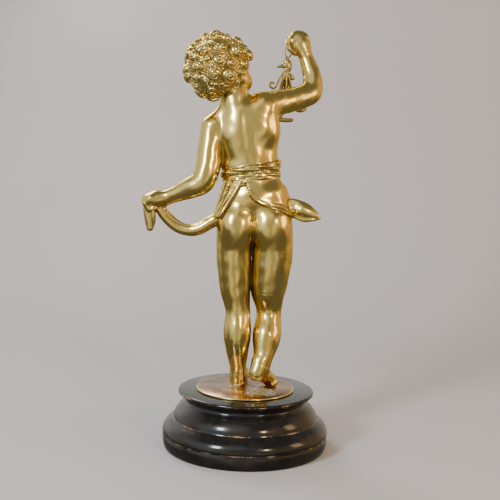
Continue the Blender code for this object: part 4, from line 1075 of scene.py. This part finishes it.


# The pieces

# Openness depths: fine marks crevices for residue and painted shade, broad marks hollows for painted shade
DEPTHS = (("fine", 1.3), ("broad", 5.0))
# Ramp stops of the crevice mask for residue and painted shade; the hair's marks more of its grooves
CREVICE_RESIDUE_AND_SHADE = ((0.12, grey(0.85)), (0.50, grey(0.0)))
HAIR_RESIDUE_AND_SHADE = ((0.24, grey(0.95)), (0.70, grey(0.0)))
# The darkest colour given to each brass is the painted shade for crevices and hollows
brass = brass_look("brass", (0.84, 0.60, 0.18), (0.70, 0.55, 0.19), (0.17, 0.12, 0.04), CREVICE_RESIDUE_AND_SHADE, 0.16, 0.26)
curled = brass_look("brass_hair", (0.84, 0.60, 0.18), (0.70, 0.55, 0.19), (0.20, 0.16, 0.08), HAIR_RESIDUE_AND_SHADE,
                    0.16, 0.26)
dull = brass_look("sprig_brass", (0.46, 0.33, 0.13), (0.34, 0.27, 0.12), (0.10, 0.07, 0.04), CREVICE_RESIDUE_AND_SHADE, 0.30, 0.42)

built = []
thing = carved("boy_body", body_part, (-96, -72, -6), (132, 56, 412), BODY_STEP, DEPTHS)
built.append((thing, "boy_figure", "brass", brass))
thing = carved("boy_head", head_part, (-14, -52, 298), (90, 54, 404), HEAD_STEP, DEPTHS)
built.append((thing, "boy_figure", "brass", curled))
thing = carved("sprig", held_sprig, (-64, -62, 290), (-8, -42, 400), SPRIG_STEP, DEPTHS)
built.append((thing, "hanging_sprig", "sprig_brass", dull))
thing = turned("plinth", PLINTH_PROFILE, TURNED_SEGMENTS, 0.0)
built.append((thing, "wood_plinth", "ebonised_wood", ebony_look()))
radius = DISC_DIAMETER / 2
low = PLINTH_HEIGHT + REST_GAP
disc = ((radius - 0.0006, low), (radius, low + 0.0006), (radius, DISC_TOP - 0.0005),
        (radius - 0.0005, DISC_TOP))
thing = turned("disc", disc, TURNED_SEGMENTS, DISC_SHIFT)
built.append((thing, "brass_disc", "disc_brass", disc_look()))
for thing, node_name, slot_name, material in built:
    thing.data.materials.clear()
    thing.data.materials.append(material)
    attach(thing, "root")
    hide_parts(node_name)

# Floor, light and camera

rows = [(1.5, 0.0), (-0.55, 0.0)]
for step in range(1, 13):
    turn = 0.5 * np.pi * step / 12
    rows.append((-0.55 - 0.5 * np.sin(turn), 0.5 - 0.5 * np.cos(turn)))
rows.append((-1.05, 2.6))
verts = np.array([(x, y, z) for y, z in rows for x in (-2.4, 2.4)])
faces = np.array([(2 * i, 2 * i + 1, 2 * i + 3, 2 * i + 2) for i in range(len(rows) - 1)])
floor = solid_mesh("floor", verts, faces)
floor.data.shade_smooth()
floor.data.materials.append(plain("floor", (0.66, 0.625, 0.66), 0.85))
floor.visible_glossy = False

softbox("window", (0.80, 0.95, 0.80), (0.0, 0.0, 0.20), (0.22, 0.34), 12.5, (0.84, 0.93, 1.0))
softbox("lamp", (-0.62, 1.05, 0.62), (0.0, 0.0, 0.20), (0.12, 0.16), 4.4, (1.0, 0.76, 0.44))
softbox("side_lamp", (-1.15, 0.25, 0.55), (0.0, 0.0, 0.22), (0.30, 0.50), 2.6, (1.0, 0.68, 0.34))
softbox("ceiling", (0.0, -0.20, 1.70), (0.0, -0.2, 0.0), (1.4, 1.4), 22.0, (1.0, 0.99, 1.0))
softbox("front_fill", (0.55, -0.75, 1.00), (0.0, 0.0, 0.25), (0.40, 0.40), 5.0, (1.0, 0.97, 0.92))


# Room: dim, with broad soft lobes of light that the polished metal mirrors

def room(lobes, above, below):
    world = bpy.data.worlds.new("room")
    bpy.context.scene.world = world
    world.use_nodes = True
    tree = world.node_tree

    def node(kind, **values):
        made = tree.nodes.new(kind)
        for key, value in values.items():
            setattr(made, key, value)
        return made

    def link(a, b):
        tree.links.new(a, b)

    way = node("ShaderNodeTexCoord").outputs["Generated"]
    split = node("ShaderNodeSeparateXYZ")
    link(way, split.inputs[0])
    rise = maths(node, link, "ADD", maths(node, link, "MULTIPLY", split.outputs["Z"], 0.5), 0.5)
    colour = ramp_node(node, rise, link, ((0.30, below), (0.62, above)))
    for toward, wide, glow in lobes:
        toward = np.asarray(toward, float) / np.linalg.norm(toward)
        dot = node("ShaderNodeVectorMath", operation="DOT_PRODUCT")
        link(way, dot.inputs[0])
        dot.inputs[1].default_value = tuple(toward)
        reach = node("ShaderNodeMapRange", interpolation_type="SMOOTHERSTEP")
        link(dot.outputs["Value"], reach.inputs["Value"])
        reach.inputs["From Min"].default_value = float(np.cos(np.radians(wide)))
        reach.inputs["From Max"].default_value = 1.0
        added = node("ShaderNodeMix", data_type="RGBA", blend_type="ADD")
        link(reach.outputs["Result"], added.inputs[0])
        link(colour, added.inputs[6])
        added.inputs[7].default_value = glow + (1.0,)
        colour = added.outputs[2]
    link(colour, tree.nodes["Background"].inputs[0])


room((((0.80, 0.55, 0.30), 38.0, (0.80, 0.86, 0.84)),
      ((0.25, 0.75, 0.80), 26.0, (0.65, 0.65, 0.56)),
      ((0.05, 1.00, 0.02), 58.0, (0.31, 0.30, 0.23)),
      ((0.40, 0.85, -0.25), 22.0, (0.40, 0.39, 0.32)),
      ((-0.35, 0.90, -0.15), 18.0, (0.45, 0.40, 0.28)),
      ((-0.80, 0.55, 0.25), 30.0, (0.58, 0.36, 0.12)),
      ((-0.95, -0.30, 0.20), 40.0, (0.55, 0.33, 0.11)),
      ((0.90, -0.40, 0.30), 40.0, (0.60, 0.60, 0.55)),
      ((0.30, -0.90, 0.35), 45.0, (0.60, 0.60, 0.58)),
      ((-0.45, -0.80, 0.10), 30.0, (0.45, 0.38, 0.28))),
     (0.20, 0.195, 0.17), (0.15, 0.14, 0.11))

PITCH = 0.0967
ROLL = 0.03
IMAGE_SIZE = 500.0
FOCAL_PIXELS = 864.7
CAMERA_PLACE = (0.0, 0.953, 0.3135)
ahead = np.array([0.0, -np.cos(PITCH), -np.sin(PITCH)])
side = np.array([-1.0, 0.0, 0.0])
up = np.cross(side, ahead)
right = np.cos(ROLL) * side + np.sin(ROLL) * up
above = -np.sin(ROLL) * side + np.cos(ROLL) * up
camera = bpy.data.cameras.new("camera")
camera.sensor_width = 36.0
camera.lens = FOCAL_PIXELS / IMAGE_SIZE * camera.sensor_width
seen = bpy.data.objects.new("camera", camera)
bpy.context.scene.collection.objects.link(seen)
seen.matrix_world = Matrix((
    (right[0], above[0], -ahead[0], CAMERA_PLACE[0]),
    (right[1], above[1], -ahead[1], CAMERA_PLACE[1]),
    (right[2], above[2], -ahead[2], CAMERA_PLACE[2]),
    (0.0, 0.0, 0.0, 1.0)))
bpy.context.scene.camera = seen
